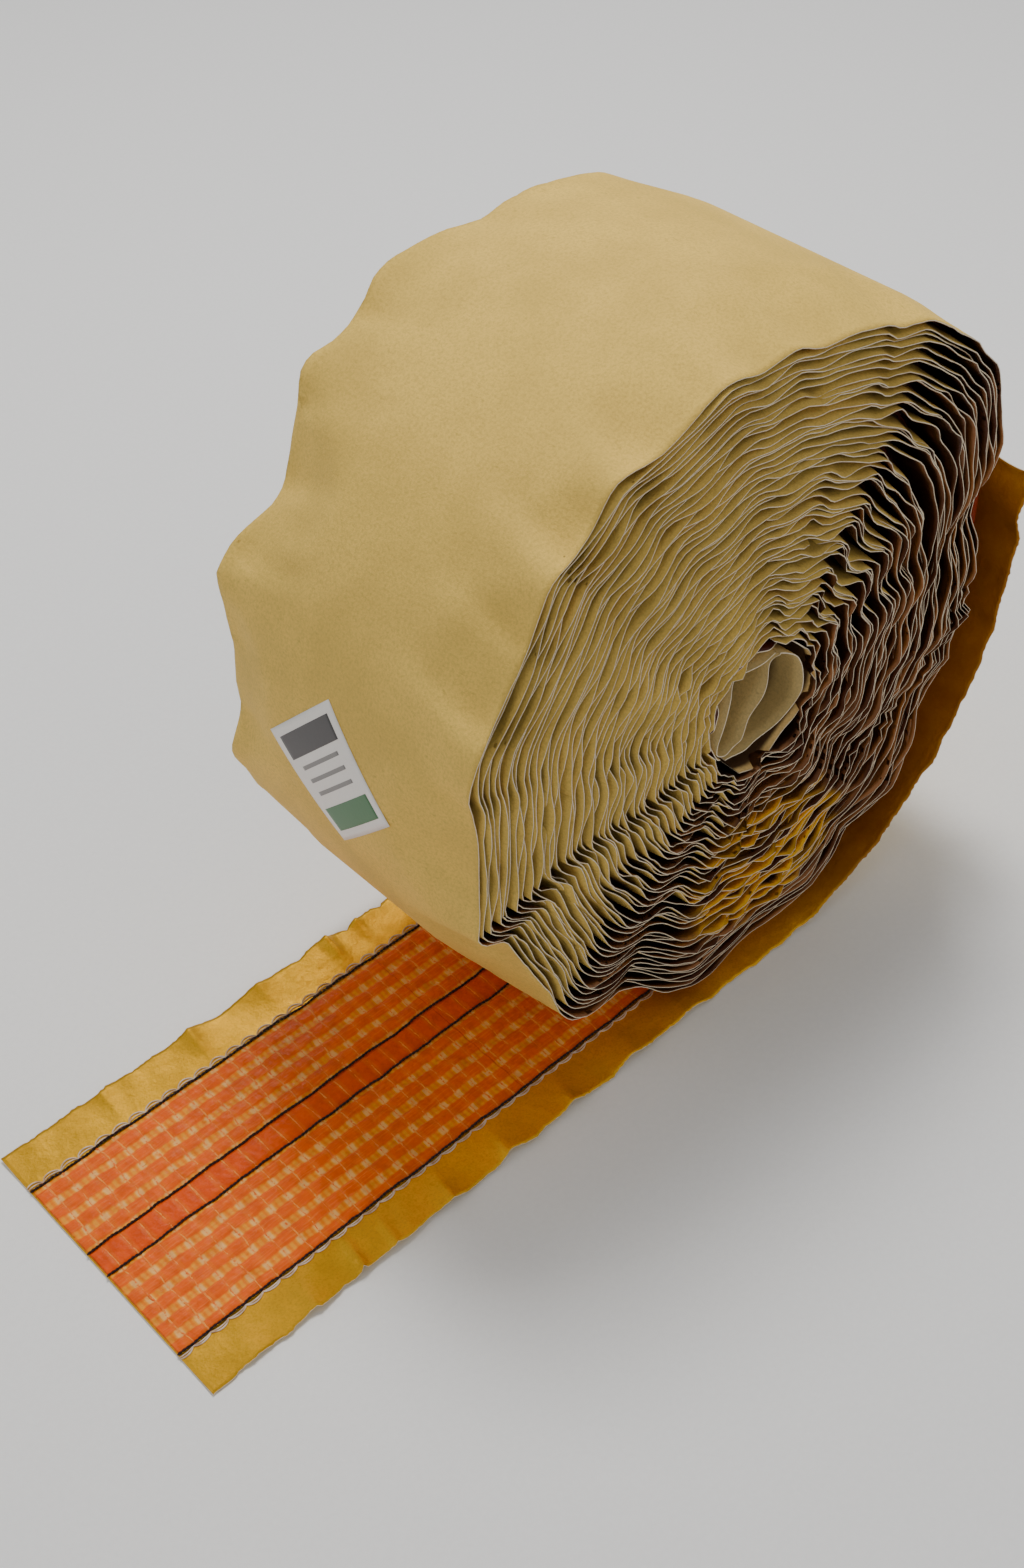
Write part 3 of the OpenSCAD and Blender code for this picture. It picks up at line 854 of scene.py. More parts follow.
@dataclass(frozen=True)
class WoundCoil:
    """The coil: one strip of paper wound inwards, with crumpled borders that nest from turn to turn.

    Angles round the roll and the winding u, from the paper's start, are in degrees. creases holds the angle, the
    height and the length across the tape of each tuck.
    """

    samples_a_turn: int = 720
    step: float = 2.75
    groups: int = 7
    least_gap: float = 0.42
    pleats_a_turn: int = 84
    pleat_depth: float = 2.3
    scallop_counts: tuple[int, ...] = (5, 7, 9, 11, 13, 16, 19, 22)
    scallop_length: float = 26.0
    scallop_depth: float = 1.25
    sagging_side: float = 85.0
    tuck_fall: float = 15.0
    tuck_rise: float = 5.0
    tuck_slant: float = 0.22
    first_turn: float = 366.0
    coat_from: float = 30.0
    paper: tuple[float, float] = (0.0, 0.26)
    coat: tuple[float, float] = (0.27, 0.33)
    melt: tuple[float, float] = (0.36, 1.25)
    creases: tuple[Triple, ...] = (
        (196.0, 1.8, 28.0), (209.5, 2.8, 34.0), (223.5, 3.3, 36.0), (236.0, 3.0, 36.0), (248.5, 3.4, 38.0),
        (262.0, 2.0, 30.0), (277.0, 1.8, 28.0), (178.0, 1.2, 24.0), (300.0, 1.8, 28.0), (120.0, 1.4, 24.0))

    @property
    def turns(self) -> float:
        """Number of turns, from the coil's radius, the eye's and the pitch."""
        return (COIL_RADIUS - EYE_RADIUS) / TURN_PITCH

    def pleats(self, angle: np.ndarray, r: np.ndarray) -> np.ndarray:
        """Short pleats, 0 to 1, in a band that slants outwards from angle 33 to 89 degrees, where it was crushed."""
        a = np.asarray(angle) % 360.0
        band = np.exp(-(((r - 69.0 - (a - 41.0)) / 7.0) ** 2)) * smooth((a - 33.0) / 7.0) * smooth((89.0 - a) / 7.0)
        return band * (0.5 + 0.5 * np.sin(np.radians(self.pleats_a_turn * a) + 0.05 * (COIL_RADIUS - r)))

    def dip(self, u: np.ndarray, outline: Outline, seed: int) -> np.ndarray:
        """How far the paper's edge dips inwards after u degrees of winding.

        The outer turns follow the outline; towards the eye the scallops turn into random ones that keep their
        length along the paper, so that there are fewer of them. Noise from turn to turn bunches the edges into
        bundles with pockets between them, more on the side where the turns sag apart.
        """
        angle = COIL_START + u
        r = coil_radius(u)
        outer = smooth((r - 56.0) / 40.0)
        nested = outline(angle + (COIL_RADIUS - r) * 0.12) * (0.72 + 0.28 * smooth((r - 84) / 25))
        rng = np.random.default_rng(seed)
        inner = np.full_like(r, 3.0)
        for waves in self.scallop_counts:
            home = waves * self.scallop_length / (2 * np.pi)
            weight = np.exp(-(((r - home) / 19.0) ** 2))
            phase = rng.uniform(0, 6.28) + r * rng.uniform(-0.05, 0.05)
            inner += self.scallop_depth * weight * np.sin(np.radians(waves * angle) + phase)
        side = np.cos(np.radians(angle - self.sagging_side))
        loose = 0.35 + 0.75 * smooth(side + 0.35) + 0.35 * np.exp(-(((r - 84.0) / 6.0) ** 2))
        loose = loose * (0.45 + 0.55 * smooth((104.0 - r) / 14.0))
        pockets = 1.5 * loose * Weave(seed + 1, 5, 4.2)(u)
        small = 0.38 * Weave(seed + 2, 34, 2.6, 20)(u)
        total = outer * nested + (1 - outer) * inner + (pockets + small) * smooth(u / 200.0)
        return np.clip(total + self.pleat_depth * self.pleats(angle, r), -1.8, 13.5)

    @cached_property
    def edges(self) -> tuple[np.ndarray, np.ndarray, np.ndarray]:
        """The winding in degrees, and the dip of the front and the back edge, at even steps.

        No edge crosses the edge of the turn outside it: each turn in order is held a least gap inside the last.
        """
        n = self.samples_a_turn
        u = np.arange(int(self.turns * n) + 1) * 360.0 / n
        dips = []
        for outline, seed in ((FRONT_EDGE, 30), (BACK_EDGE, 40)):
            edge = coil_radius(u) - self.dip(u, outline, seed)
            for start in range(n, len(u), n):
                stop = min(start + n, len(u))
                edge[start:stop] = np.minimum(edge[start:stop], edge[start - n:stop - n] - self.least_gap)
            dips.append(coil_radius(u) - edge)
        return u, dips[0], dips[1]

    def across(self, outermost: bool) -> np.ndarray:
        """Places across the tape: close together on the borders and, on the outside, over the band as well."""
        border = TAPE.half_band + TAPE.border * np.array([0.0, 0.14, 0.3, 0.5, 0.7, 0.87, 1.0])
        inner = np.array([17.5, 20.0, 22.5, 25.0, 27.5, 30.0, 32.2]) if outermost else np.array([22.0, 28.5])
        middle = np.linspace(0, 14, 4) if outermost else np.array([0.0])
        half = np.concatenate([middle, inner, border])
        return np.concatenate([-half[:0:-1], half])

    def reach(self, u: np.ndarray, seed: int) -> np.ndarray:
        """How far the paper's edge stands out of the roll's face: it strays, and juts in short tongues low down."""
        angle = (COIL_START + u + 180.0) % 360.0 - 180.0
        r = coil_radius(u)
        stray = 0.75 * Weave(seed, 26, 2.2, 18)(u) + 0.35 * Weave(seed + 1, 5, 3.0)(u)
        low = smooth(1.5 - np.abs(angle) / 22.0) * smooth((r - 36.0) / 8.0) * smooth((101.0 - r) / 8.0)
        tongues = np.clip(Weave(seed + 2, 44, 1.9, 18)(u) - 0.25, 0, 1.0)
        return stray * smooth(u / 300.0 + 0.35) + 2.6 * low * tongues

    def tucks(self, angle: np.ndarray, y: np.ndarray, r: np.ndarray) -> np.ndarray:
        """Tucks on the outer turns: along the paper it sinks over tuck_fall, then rises over tuck_rise."""
        total = np.zeros(np.broadcast(angle, y).shape)
        inset = TAPE.half - np.abs(y)
        for crease, high, reach in self.creases:
            past = ((angle - crease + 180.0) % 360.0 - 180.0) * np.pi / 180.0 * r + self.tuck_slant * inset
            fall = np.clip(1 + past / self.tuck_fall, 0, 1) * np.clip(1 - past / self.tuck_rise, 0, 1)
            total += high * fall * np.clip(1 - inset / reach, 0, 1)
        return total

    def surface(self, u: np.ndarray, y: np.ndarray, depth: float) -> np.ndarray:
        """Points of a layer that lies depth inside the paper's outer face.

        The radius is that of the spiral less the dip times 1.1 b^2 / (b + 0.1), where b runs from 0 at the line
        where the dip starts to 1 at the paper's edge, so the paper folds sharply there. On the outer turns a
        deeper dip starts further in, which leaves triangular facets. The edge draws back from the face where it
        dips, because paper doesn't stretch.
        """
        grid, front, back = self.edges
        u, y = u[:, None], y[None, :]
        dip = np.where(y > 0, np.interp(u, grid, back), np.interp(u, grid, front))
        r = coil_radius(u)
        inside = smooth((COIL_RADIUS - r) / 26.0)
        folded = TAPE.half - 9.0 - 2.8 * np.clip(dip, 0, 8.5)
        start = folded + (TAPE.half_band - folded) * inside
        b = np.clip((np.abs(y) - start) / (TAPE.half - start), 0, 1)
        crumple = 0.16 * b * np.abs(Field(13.0, 5)(u * r * np.pi / 180.0, y))
        fold = (1 - inside) * self.tucks(COIL_START + u, y, r) * np.clip(dip + 0.6, 0.35, 1)
        reach = r - depth - 0.15 - dip * 1.1 * b * b / (b + 0.1) - fold * (1 - b ** 6) - crumple
        drawn = np.sqrt(1 - 0.8 * np.clip(dip / TAPE.border, 0, 1) ** 2)
        edge = border_share(y)
        out = np.abs(y) + edge * (TAPE.border * (drawn - 1) + np.clip(-dip, 0, 2) * 0.8)
        jut = np.where(y > 0, self.reach(u, 93), self.reach(u, 90))
        return coil_point(u, reach, (out + jut * edge) * np.sign(y))

    def windings(self) -> list[np.ndarray]:
        """The winding angles of each group of turns, a step apart along the paper; the first is just over a turn."""
        c = math.radians(TURN_PITCH / 360.0)
        r0 = math.radians(COIL_RADIUS)
        end = self.turns * 360.0
        length = r0 * end - c * end * end / 2
        s = np.linspace(0, length, int(length / self.step))
        u = (r0 - np.sqrt(np.maximum(r0 * r0 - 2 * c * s, 0))) / c
        first = int(np.searchsorted(u, self.first_turn))
        cuts = np.concatenate([[0], np.linspace(first, len(u) - 1, self.groups).astype(int)])
        return [u[a:b + 1] for a, b in zip(cuts[:-1], cuts[1:])]

    def layer(self, name: str, u: np.ndarray, spans: Sequence[np.ndarray], depths: tuple[float, float],
              *finishes: Finish) -> bpy.types.Object:
        """One layer of one group of turns, as closed sheets that ride on the coil.

        Args:
            name: the piece's name.
            u: its winding angles.
            spans: for each sheet, its places across the tape.
            depths: how deep its outer and inner face lie inside the paper's outer face.
            finishes: the finish of its outer face, its inner face and its rim.

        Returns:
            The piece.
        """
        length = (np.radians(u) * coil_radius(u))[:, None]
        layers = ((*(self.surface(u, y, d) for d in depths), paired(length, y[None, :])) for y in spans)
        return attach(sheets(name, layers, *finishes), "coil")

    def make(self) -> None:
        """Makes the paper, the gold coat and the adhesive of every turn."""
        for group, u in enumerate(self.windings(), 1):
            # every face but the outermost turn's outer face takes the wound finishes, which are painted with shade
            # towards the band
            outside = Finish.KRAFT if group == 1 else Finish.WOUND_KRAFT
            y = self.across(group == 1)
            borders = (y[y < -self.coat_from], y[y > self.coat_from])
            band = y[np.abs(y) <= TAPE.half_band + 0.01]
            paper = self.layer(f"coil_paper_{group}", u, (y,), self.paper, outside, Finish.WOUND_KRAFT, Finish.EDGE)
            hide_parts("coil_backing")
            coat = self.layer(f"coil_gold_coat_{group}", u, borders, self.coat, Finish.WOUND_GOLD)
            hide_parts("coil_facing")
            melt = self.layer(f"coil_adhesive_{group}", u, (band,), self.melt, Finish.WOUND)
            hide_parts("coil_adhesive")


# ---------------------------------------------------------------- the laid strip and the loose wrap


@dataclass(frozen=True)
class StripPath:
    """The line of the laid strip: flat from the free end to the roll, then up the roll as the loose wrap.

    Its parameter s is the length from where the strip leaves the floor, negative on the floor.
    """

    end_angle: float = 122.0
    settle: float = 1.3
    settle_from: float = 100.0
    drift: float = 4.0

    @property
    def start(self) -> float:
        """Where the free end is."""
        return TAPE.end_x - WRAP_X

    @property
    def stop(self) -> float:
        """Where the loose wrap ends."""
        return math.radians(self.end_angle) * WRAP_RADIUS

    def point(self, s: np.ndarray, v: np.ndarray, height: np.ndarray) -> np.ndarray:
        """Points of the strip.

        Args:
            s: length along the strip.
            v: place across it, from its middle line.
            height: height above its underside, towards the adhesive's side.

        Returns:
            The points: (WRAP_X + s, lane, height) on the floor, and on the wrap the same height inside a circle,
            which settles a little towards the roll at its end and drifts back along the roll's axis.
        """
        s, v, height = np.broadcast_arrays(s, v, height)
        angle = np.clip(s, 0, None) / WRAP_RADIUS
        sink = self.settle * smooth((np.degrees(angle) - self.settle_from) / (self.end_angle - self.settle_from))
        r = WRAP_RADIUS - height - sink
        floor_x = WRAP_X + np.minimum(s, 0)
        y = v - STRIP_SHIFT + STRIP_SKEW * floor_x + self.drift * smooth(s / self.stop)
        z = WRAP_RADIUS - r * np.cos(angle)
        return np.stack([floor_x + r * np.sin(angle), y, np.where(s < 0, height, z)], -1)


@dataclass(frozen=True)
class Relief:
    """How the strip's bare borders lift off the floor: waves, sharp creases and small nicks in the edge.

    Creases hold a place along the strip, a height and a width, and nicks a place, a depth and a width. corner is
    the height, the distance from the wrap's end and the width of the lifted corner.
    """

    path: StripPath = StripPath()
    corner: Triple = (3.2, 40.0, 8.0)
    nicks: tuple[Triple, ...] = ((-83.0, 1.5, 1.6), (-69.0, 1.2, 1.2), (-61.0, 0.9, 2.5))
    near_creases: tuple[Triple, ...] = (
        (-151.0, 2.6, 2.2), (-139.0, 1.1, 3.0), (-168.0, 1.0, 6.0), (-118.0, 1.3, 5.0), (-96.0, 1.0, 4.0),
        (-70.0, 1.4, 6.0), (-44.0, 1.2, 6.0), (-22.0, 1.6, 7.0))
    far_creases: tuple[Triple, ...] = (
        (-172.0, 1.2, 7.0), (-140.0, 1.5, 6.0), (-113.0, 1.0, 5.0), (-86.0, 2.6, 5.5), (-74.0, 1.6, 3.0),
        (-52.0, 1.2, 6.0))

    def ridges(self, s: np.ndarray, creases: tuple[Triple, ...]) -> np.ndarray:
        """The sum of 1.5 height / (1 + |s - place| / width)^2 over the creases."""
        return sum(1.5 * h / (1 + np.abs(s - place + 5.0) / w) ** 2 for place, h, w in creases)

    def height(self, s: np.ndarray, v: np.ndarray) -> np.ndarray:
        """How far the paper lifts: nothing on the band, and its full waves at the paper's edge."""
        b = border_share(v)
        waves = 0.50 + 0.45 * Ripple(36.0, 21)(s + 7 * b) + 0.14 * Ripple(12.0, 22)(s - 4 * b)
        far = self.ridges(s, self.far_creases) + waves
        waves = 0.60 + 0.55 * Ripple(38.0, 23)(s - 6 * b) + 0.15 * Ripple(13.0, 24)(s + 4 * b)
        near = self.ridges(s + 3 * b, self.near_creases) + waves
        lift = np.where(v > 0, far, near) * b ** 1.3
        return np.clip(lift, 0, None) + 0.05 * b

    def outward(self, s: np.ndarray, v: np.ndarray) -> np.ndarray:
        """How far the wrap's paper stands away from the roll: gentle waves, largest at the paper's edge."""
        b = border_share(v)
        waves = 0.4 + 0.5 * Ripple(46.0, 25)(s + 5 * b) + 0.25 * Ripple(17.0, 26)(s)
        high, before, wide = self.corner
        corner = high * np.exp(-(((s - self.path.stop + before) / wide) ** 2))
        fade = smooth(s / 30.0) * smooth((self.path.stop - s) / 16.0)
        return np.clip(waves + np.where(v < 0, corner, 0.0), 0, None) * b ** 1.2 * fade

    def edge(self, s: np.ndarray, v: np.ndarray) -> np.ndarray:
        """The place across the strip of grid line v: the outer lines follow the paper's slightly ragged edge."""
        b = border_share(v)
        rough = 0.35 * Ripple(19.0, 27)(s) + 0.18 * Ripple(4.0, 28)(s)
        nicks = sum(depth * np.exp(-(((s - place) / wide) ** 2)) for place, depth, wide in self.nicks)
        return v + np.sign(v) * b ** 3 * (rough - np.where(v > 0, nicks, 0.0))


RELIEF = Relief()


def strip_point(s: np.ndarray, v: np.ndarray, height: Any) -> np.ndarray:
    """A point of the laid strip, height above its underside, with its borders' relief."""
    s, v, height = np.broadcast_arrays(s, v, np.asarray(height, float))
    lift = np.where(s < 0, RELIEF.height(s, v) * smooth(-s / 12.0 + 0.2), -RELIEF.outward(s, v))
    return RELIEF.path.point(s, RELIEF.edge(s, v), height + lift)


def bend(piece: bpy.types.Object) -> bpy.types.Object:
    """Bakes a piece of the strip's world transform into its mesh and returns it."""
    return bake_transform(piece)


@dataclass(frozen=True)
class LaidPaper:
    """The paper and its gold coat, from the free end to the end of the loose wrap."""

    step: float = 1.1
    slant: float = 40.0

    def grid(self) -> tuple[np.ndarray, np.ndarray]:
        """Places along and across the strip."""
        path = RELIEF.path
        s = np.linspace(path.start, path.stop, int((path.stop - path.start) / self.step))
        border = TAPE.half_band + TAPE.border * np.linspace(0, 1, 15)
        middle = np.linspace(-1, 1, 9)[1:-1] * TAPE.half_band
        return s[:, None], np.concatenate([-border[::-1], middle, border])[None, :]

    def sheet(self, name: str, low: float, high: float, *finishes: Finish) -> bpy.types.Object:
        """A closed sheet of the strip between two heights; its top faces the adhesive's side.

        The wrap's end is cut at a slant: its front edge stops short of its back edge.
        """
        s, v = self.grid()
        s = s - self.slant * smooth((5.0 - v) / 55.0) * smooth((s - RELIEF.path.stop + 60.0) / 60.0)
        return bend(sheets(name, [(strip_point(s, v, high), strip_point(s, v, low), paired(s, v))], *finishes))

    def make(self) -> None:
        """Makes the two sheets."""
        paper = self.sheet("laid_paper", 0.0, 0.25, Finish.KRAFT, Finish.KRAFT, Finish.EDGE)
        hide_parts("wrap_backing", "end_backing")
        coat = self.sheet("laid_gold_coat", 0.26, 0.34, Finish.GOLD)
        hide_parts("wrap_facing", "end_facing")


@dataclass(frozen=True)
class AdhesiveBand:
    """The hot-melt band: lengthwise beads that the crosswise yarns pinch into cells.

    It lies from floor upwards, a film deep. From the place hidden on, the roll covers it and it is plain, up to
    end_gap before the wrap's end.
    """

    bead_height: float = 0.5
    bead_half: float = 2.5
    floor: float = 0.35
    film: float = 0.36
    plain_top: float = 0.9
    step: float = 0.45
    hidden: float = 42.0
    end_gap: float = 46.0

    def beads(self) -> np.ndarray:
        """The middle lines of the beads, across the strip."""
        i = np.arange(BEADS_EACH_SIDE)
        return np.concatenate([FAR_GUIDE + FIRST_BEAD + i * BEAD_PITCH, NEAR_GUIDE - FIRST_BEAD - i * BEAD_PITCH])

    def height(self, s: np.ndarray, v: np.ndarray) -> np.ndarray:
        """Height of the adhesive above the strip's underside.

        A bead is (1 - q^2)^0.6 of its height, q being the distance from its wandering middle line over its half
        width, pinched at each yarn by |sin|^0.35. The channel between the guide threads is a low flat bead.
        """
        wander = 0.35 * Ripple(31.0, 51)(s)
        pinch = 0.80 + 0.20 * stitched(s, 0.35)
        total = np.zeros(np.broadcast(s, v).shape)
        for i, middle in enumerate(self.beads()):
            half = self.bead_half + 0.3 * Ripple(14.0, 80 + i)(s)
            q = (v - middle - wander - 0.25 * Ripple(8.0, 60 + i)(s)) / half
            size = self.bead_height * (1 + 0.16 * Ripple(12.0, 70 + i)(s))
            total = np.maximum(total, size * np.clip(1 - q * q, 0, 1) ** 0.6)
        centre, half = (FAR_GUIDE + NEAR_GUIDE) / 2, (FAR_GUIDE - NEAR_GUIDE) / 2 - 0.5
        flat = np.clip(1 - np.abs((v - centre) / half) ** 6, 0, 1) ** 0.5
        total = np.maximum(total, self.bead_height * flat)
        cell = 0.10 * stitched(s, 0.6)
        lumps = 0.045 * Field(2.6, 52)(s, v) + 0.02 * Field(1.1, 53)(s, v)
        return self.floor + self.film + total * pinch + cell + lumps

    def make(self) -> None:
        """Makes the visible band as a closed slab, and the hidden part on the wrap as a plain one."""
        start = RELIEF.path.start + 0.4
        s = np.linspace(start, self.hidden, int((self.hidden - start) / self.step))[:, None]
        v = np.linspace(-TAPE.half_band, TAPE.half_band, int(TAPE.band / self.step))[None, :]
        half = len(s) // 2
        for name, rows in (("adhesive_band_end", slice(0, half + 1)), ("adhesive_band_roll", slice(half, None))):
            place = s[rows]
            rim = np.clip((TAPE.half_band - np.abs(v)) / 0.8, 0.35, 1)
            top = strip_point(place, v, self.floor + (self.height(place, v) - self.floor) * rim)
            layer = (top, strip_point(place, v, self.floor), paired(place, v))
            piece = bend(sheets(name, [layer], Finish.BAND))
            nodes = ("end_adhesive", "end_beads") if rows.start == 0 else ("wrap_adhesive", "wrap_beads")
            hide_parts(*nodes)
        s = np.linspace(self.hidden, RELIEF.path.stop - self.end_gap, 90)[:, None]
        v = np.linspace(-TAPE.half_band, TAPE.half_band, 21)[None, :]
        layer = (strip_point(s, v, self.plain_top), strip_point(s, v, self.floor), paired(s, v))
        piece = sheets("adhesive_band_wrap", [layer], Finish.BAND)
        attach(piece, "laid_strip")


BAND = AdhesiveBand()


@dataclass(frozen=True)
class Scrim:
    """The scrim's yarns, laid over the adhesive: crosswise ones at every stitch, lengthwise ones in the valleys."""

    half_width: float = 0.42
    half_height: float = 0.11

    def weft(self, part: str, first: float, last: float) -> None:
        """The crosswise yarns between two places along the strip."""
        count = np.arange(math.ceil(first / STITCH), math.floor(last / STITCH) + 1)
        v = np.linspace(-TAPE.half_band - 0.9, TAPE.half_band + 0.9, 150)[None, :]
        rng = np.random.default_rng(len(part))
        lean = rng.uniform(-0.4, 0.4, len(count))[:, None]
        s = count[:, None] * STITCH + lean * v / TAPE.half_band + 0.25 * Field(16.0, 54)(count[:, None] * 40.0, v)
        inside = np.clip((TAPE.half_band - np.abs(v)) / 0.6, 0, 1)
        top = BAND.height(s, np.clip(v, -TAPE.half_band, TAPE.half_band))
        height = np.where(inside > 0, top * inside + 0.5 * (1 - inside), 0.45) - 0.07
        build = Build(f"scrim_weft_{part}")
        wide = self.half_width * (0.85 + 0.25 * Field(5.0, 55)(s, v))
        build.tubes(strip_point(s, v, height), ALONG, UP, wide, self.half_height, paired(s, v), TUBE_SIDES)
        piece = bend(build.finish([look(Finish.WEFT)]))
        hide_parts(f"{part}_weft_yarns")

    def warp(self) -> None:
        """The lengthwise yarns, one in each valley, and two thin ones in the frayed strip by the near edge."""
        start = RELIEF.path.start + 0.2
        s = np.linspace(start, BAND.hidden, int((BAND.hidden - start) / 0.8))[None, :]
        beads = BAND.beads().reshape(2, -1)
        lanes = np.concatenate([(beads[:, :-1] + beads[:, 1:]).ravel() / 2, [-30.6, -32.6, 32.9]])
        widths = np.where(np.arange(len(lanes)) < 2 * (BEADS_EACH_SIDE - 1), 0.6, 0.3)
        v = lanes[:, None] + 0.35 * Ripple(31.0, 51)(s) + 0.15 * Field(20.0, 56)(s, lanes[:, None] * 9)
        height = BAND.height(s, v) - 0.05 - 0.06 * stitched(s)
        build = Build("scrim_warp")
        wide = widths[:, None] * (0.8 + 0.3 * Field(6.0, 57)(s, v * 3))
        build.tubes(strip_point(s, v, height), ACROSS, UP, wide, 0.1, paired(s, v), TUBE_SIDES)
        piece = bend(build.finish([look(Finish.BAND)]))
        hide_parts("end_warp_yarns", "wrap_warp_yarns")

    def make(self) -> None:
        """Makes all the yarns."""
        self.weft("end", RELIEF.path.start + 1.5, TAPE.lift_x - WRAP_X)
        self.weft("wrap", TAPE.lift_x - WRAP_X + STITCH * 0.5, 30.0)
        self.warp()


@dataclass(frozen=True)
class Stitching:
    """The sewing threads: two-ply needle threads that dip at every stitch, and looper threads in scallops."""

    ply: float = 0.24
    twist: float = 2.6
    reach: float = 60.0
    looper_height: float = 0.5

    def line(self) -> np.ndarray:
        """Places along a thread."""
        start = RELIEF.path.start - 0.1
        return np.linspace(start, self.reach, int((self.reach - start) / 0.42))

    def thread(self, name: str, lane: float, base: float, node: str, seed: int, dip: float) -> None:
        """A two-ply thread: two tubes that turn about one line, which dips into the tape at each stitch."""
        s = self.line()
        turn = 2 * np.pi * s / self.twist
        lower = dip * (1 - stitched(s, 0.4))
        drift = 0.22 * Ripple(26.0, seed)(s) + 0.08 * Ripple(6.0, seed + 1)(s)
        build = Build(name)
        for phase in (0.0, np.pi):
            v = lane + drift + self.ply * 0.8 * np.cos(turn + phase)
            height = base - lower + self.ply * 0.8 * np.sin(turn + phase)
            build.tubes(strip_point(s, v, height)[None], ACROSS, self.normals(s), self.ply, self.ply,
                        paired(s, v)[None], TUBE_SIDES)
        piece = bend(build.finish([look(Finish.THREAD)]))
        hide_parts(f"end_{node}", f"wrap_{node}")

    def normals(self, s: np.ndarray) -> np.ndarray:
        """The direction away from the strip's underside: up on the floor, towards the wrap's middle beyond."""
        angle = np.clip(s, 0, None) / WRAP_RADIUS
        return np.stack([-np.sin(angle), np.zeros_like(s), np.cos(angle)], -1)[None]

    def looper(self, name: str, side: float, node: str, depth: float) -> None:
        """The looper thread: scallops on the border, |sin|^0.6 of their depth out from the stitch line."""
        s = self.line()
        swing = stitched(s, 0.6)
        sway = 0.25 * Ripple(13.0, 91)(s)
        build = Build(name)
        for share, thick, high in ((1.0, 0.26, 0.18), (0.45, 0.22, 0.14)):
            v = side * (TAPE.half_band + 0.75 + (depth + sway) * swing * share)
            build.tubes(strip_point(s, v, self.looper_height)[None], ACROSS, self.normals(s), thick, high,
                        paired(s, v)[None], TUBE_SIDES)
        piece = bend(build.finish([look(Finish.LOOPER)]))
        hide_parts(f"end_{node}", f"wrap_{node}")

    def make(self) -> None:
        """Makes the four needle threads and the two looper threads."""
        edge = TAPE.half_band + 0.35
        self.thread("far_edge_thread", edge, 0.85, "far_edge_stitch", 100, 0.25)
        self.thread("near_edge_thread", -edge, 0.95, "near_edge_stitch", 110, 0.30)
        self.thread("far_guide_thread", FAR_GUIDE, 1.15, "far_guide_thread", 120, 0.12)
        self.thread("near_guide_thread", NEAR_GUIDE, 1.15, "near_guide_thread", 130, 0.12)
        self.looper("far_looper", 1.0, "far_looper_thread", 1.9)
        self.looper("near_looper", -1.0, "near_looper_thread", 1.3)


# ---------------------------------------------------------------- label and leader


SUNK = 0.05  # how deep the label is bedded in the coil's paper


@dataclass(frozen=True)
class Label:
    """The label on the roll: a white sheet with a grey header, thin lines and a green footer.

    angle and y place its middle on the coil, and turn is how it leans, in degrees.
    """

    angle: float = 271.0
    y: float = 2.0
    turn: float = -45.0
    wide: float = 34.0
    high: float = 36.0
    margin: float = 3.0

    def patch(self, name: str, node: str, area: tuple[float, float, float, float], lift: float, thick: float,
              finish: Finish, slot: str) -> None:
        """A thin patch wrapped on the roll.

        Args:
            name: the piece's name.
            node: the CAD node that it stands for.
            area: left, right, low and high on the label, in millimetres from its middle.
            lift: height of its underside above the paper.
            thick: its thickness.
            finish: its finish.
            slot: not used.
        """
        a = np.linspace(area[0], area[1], 24)[None, :]
        b = np.linspace(area[2], area[3], 24)[:, None]
        lean = math.radians(self.turn)
        along = a * math.cos(lean) - b * math.sin(lean)
        y = self.y + a * math.sin(lean) + b * math.cos(lean)
        u = (self.angle - COIL_START) - np.degrees(along / COIL_RADIUS)
        top, bottom = (coil_point(u, coil_radius(u) + height - SUNK, y) for height in (lift + thick, lift))
        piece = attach(sheets(name, [(top, bottom, paired(a, b))], finish), "coil")
        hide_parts(node)

    def make(self) -> None:
        """Makes the sheet and its printed bands, each a margin inside the one it lies on."""
        w, h, margin = self.wide / 2, self.high / 2, self.margin
        band = self.high * 0.2
        self.patch("label", "label_sheet", (-w, w, -h, h), 0.0, 0.14, Finish.LABEL, "label_paper")
        header, footer = h - margin - band, margin - h
        lines = [(f"label_line_print_{i + 1}", "label_lines", 2 * margin, i * 4 - 4, 1.2, Finish.LINE,
                  "label_grey_print") for i in range(3)]
        for name, node, side, low, tall, finish, slot in (
                ("label_header_print", "label_header", margin, header, band, Finish.GREY, "label_grey_print"), *lines,
                ("label_footer_print", "label_footer", margin, footer, band, Finish.GREEN, "label_green_print")):
            self.patch(name, node, (side - w, w - side, low, low + tall), 0.15, 0.03, finish, slot)


def spline(points: Sequence[tuple[float, float]], count: int) -> np.ndarray:
    """A smooth curve through the points, by Catmull-Rom cubics, at count even steps of its parameter."""
    p = np.array([points[0], *points, points[-1]], float)
    t = np.linspace(0, len(points) - 1 - 1e-9, count)
    i = t.astype(int)
    f = (t - i)[:, None]
    a, b, c, d = p[i], p[i + 1], p[i + 2], p[i + 3]
    return 0.5 * (2 * b + (c - a) * f + (2 * a - 5 * b + 4 * c - d) * f ** 2 + (3 * b - a - 3 * c + d) * f ** 3)


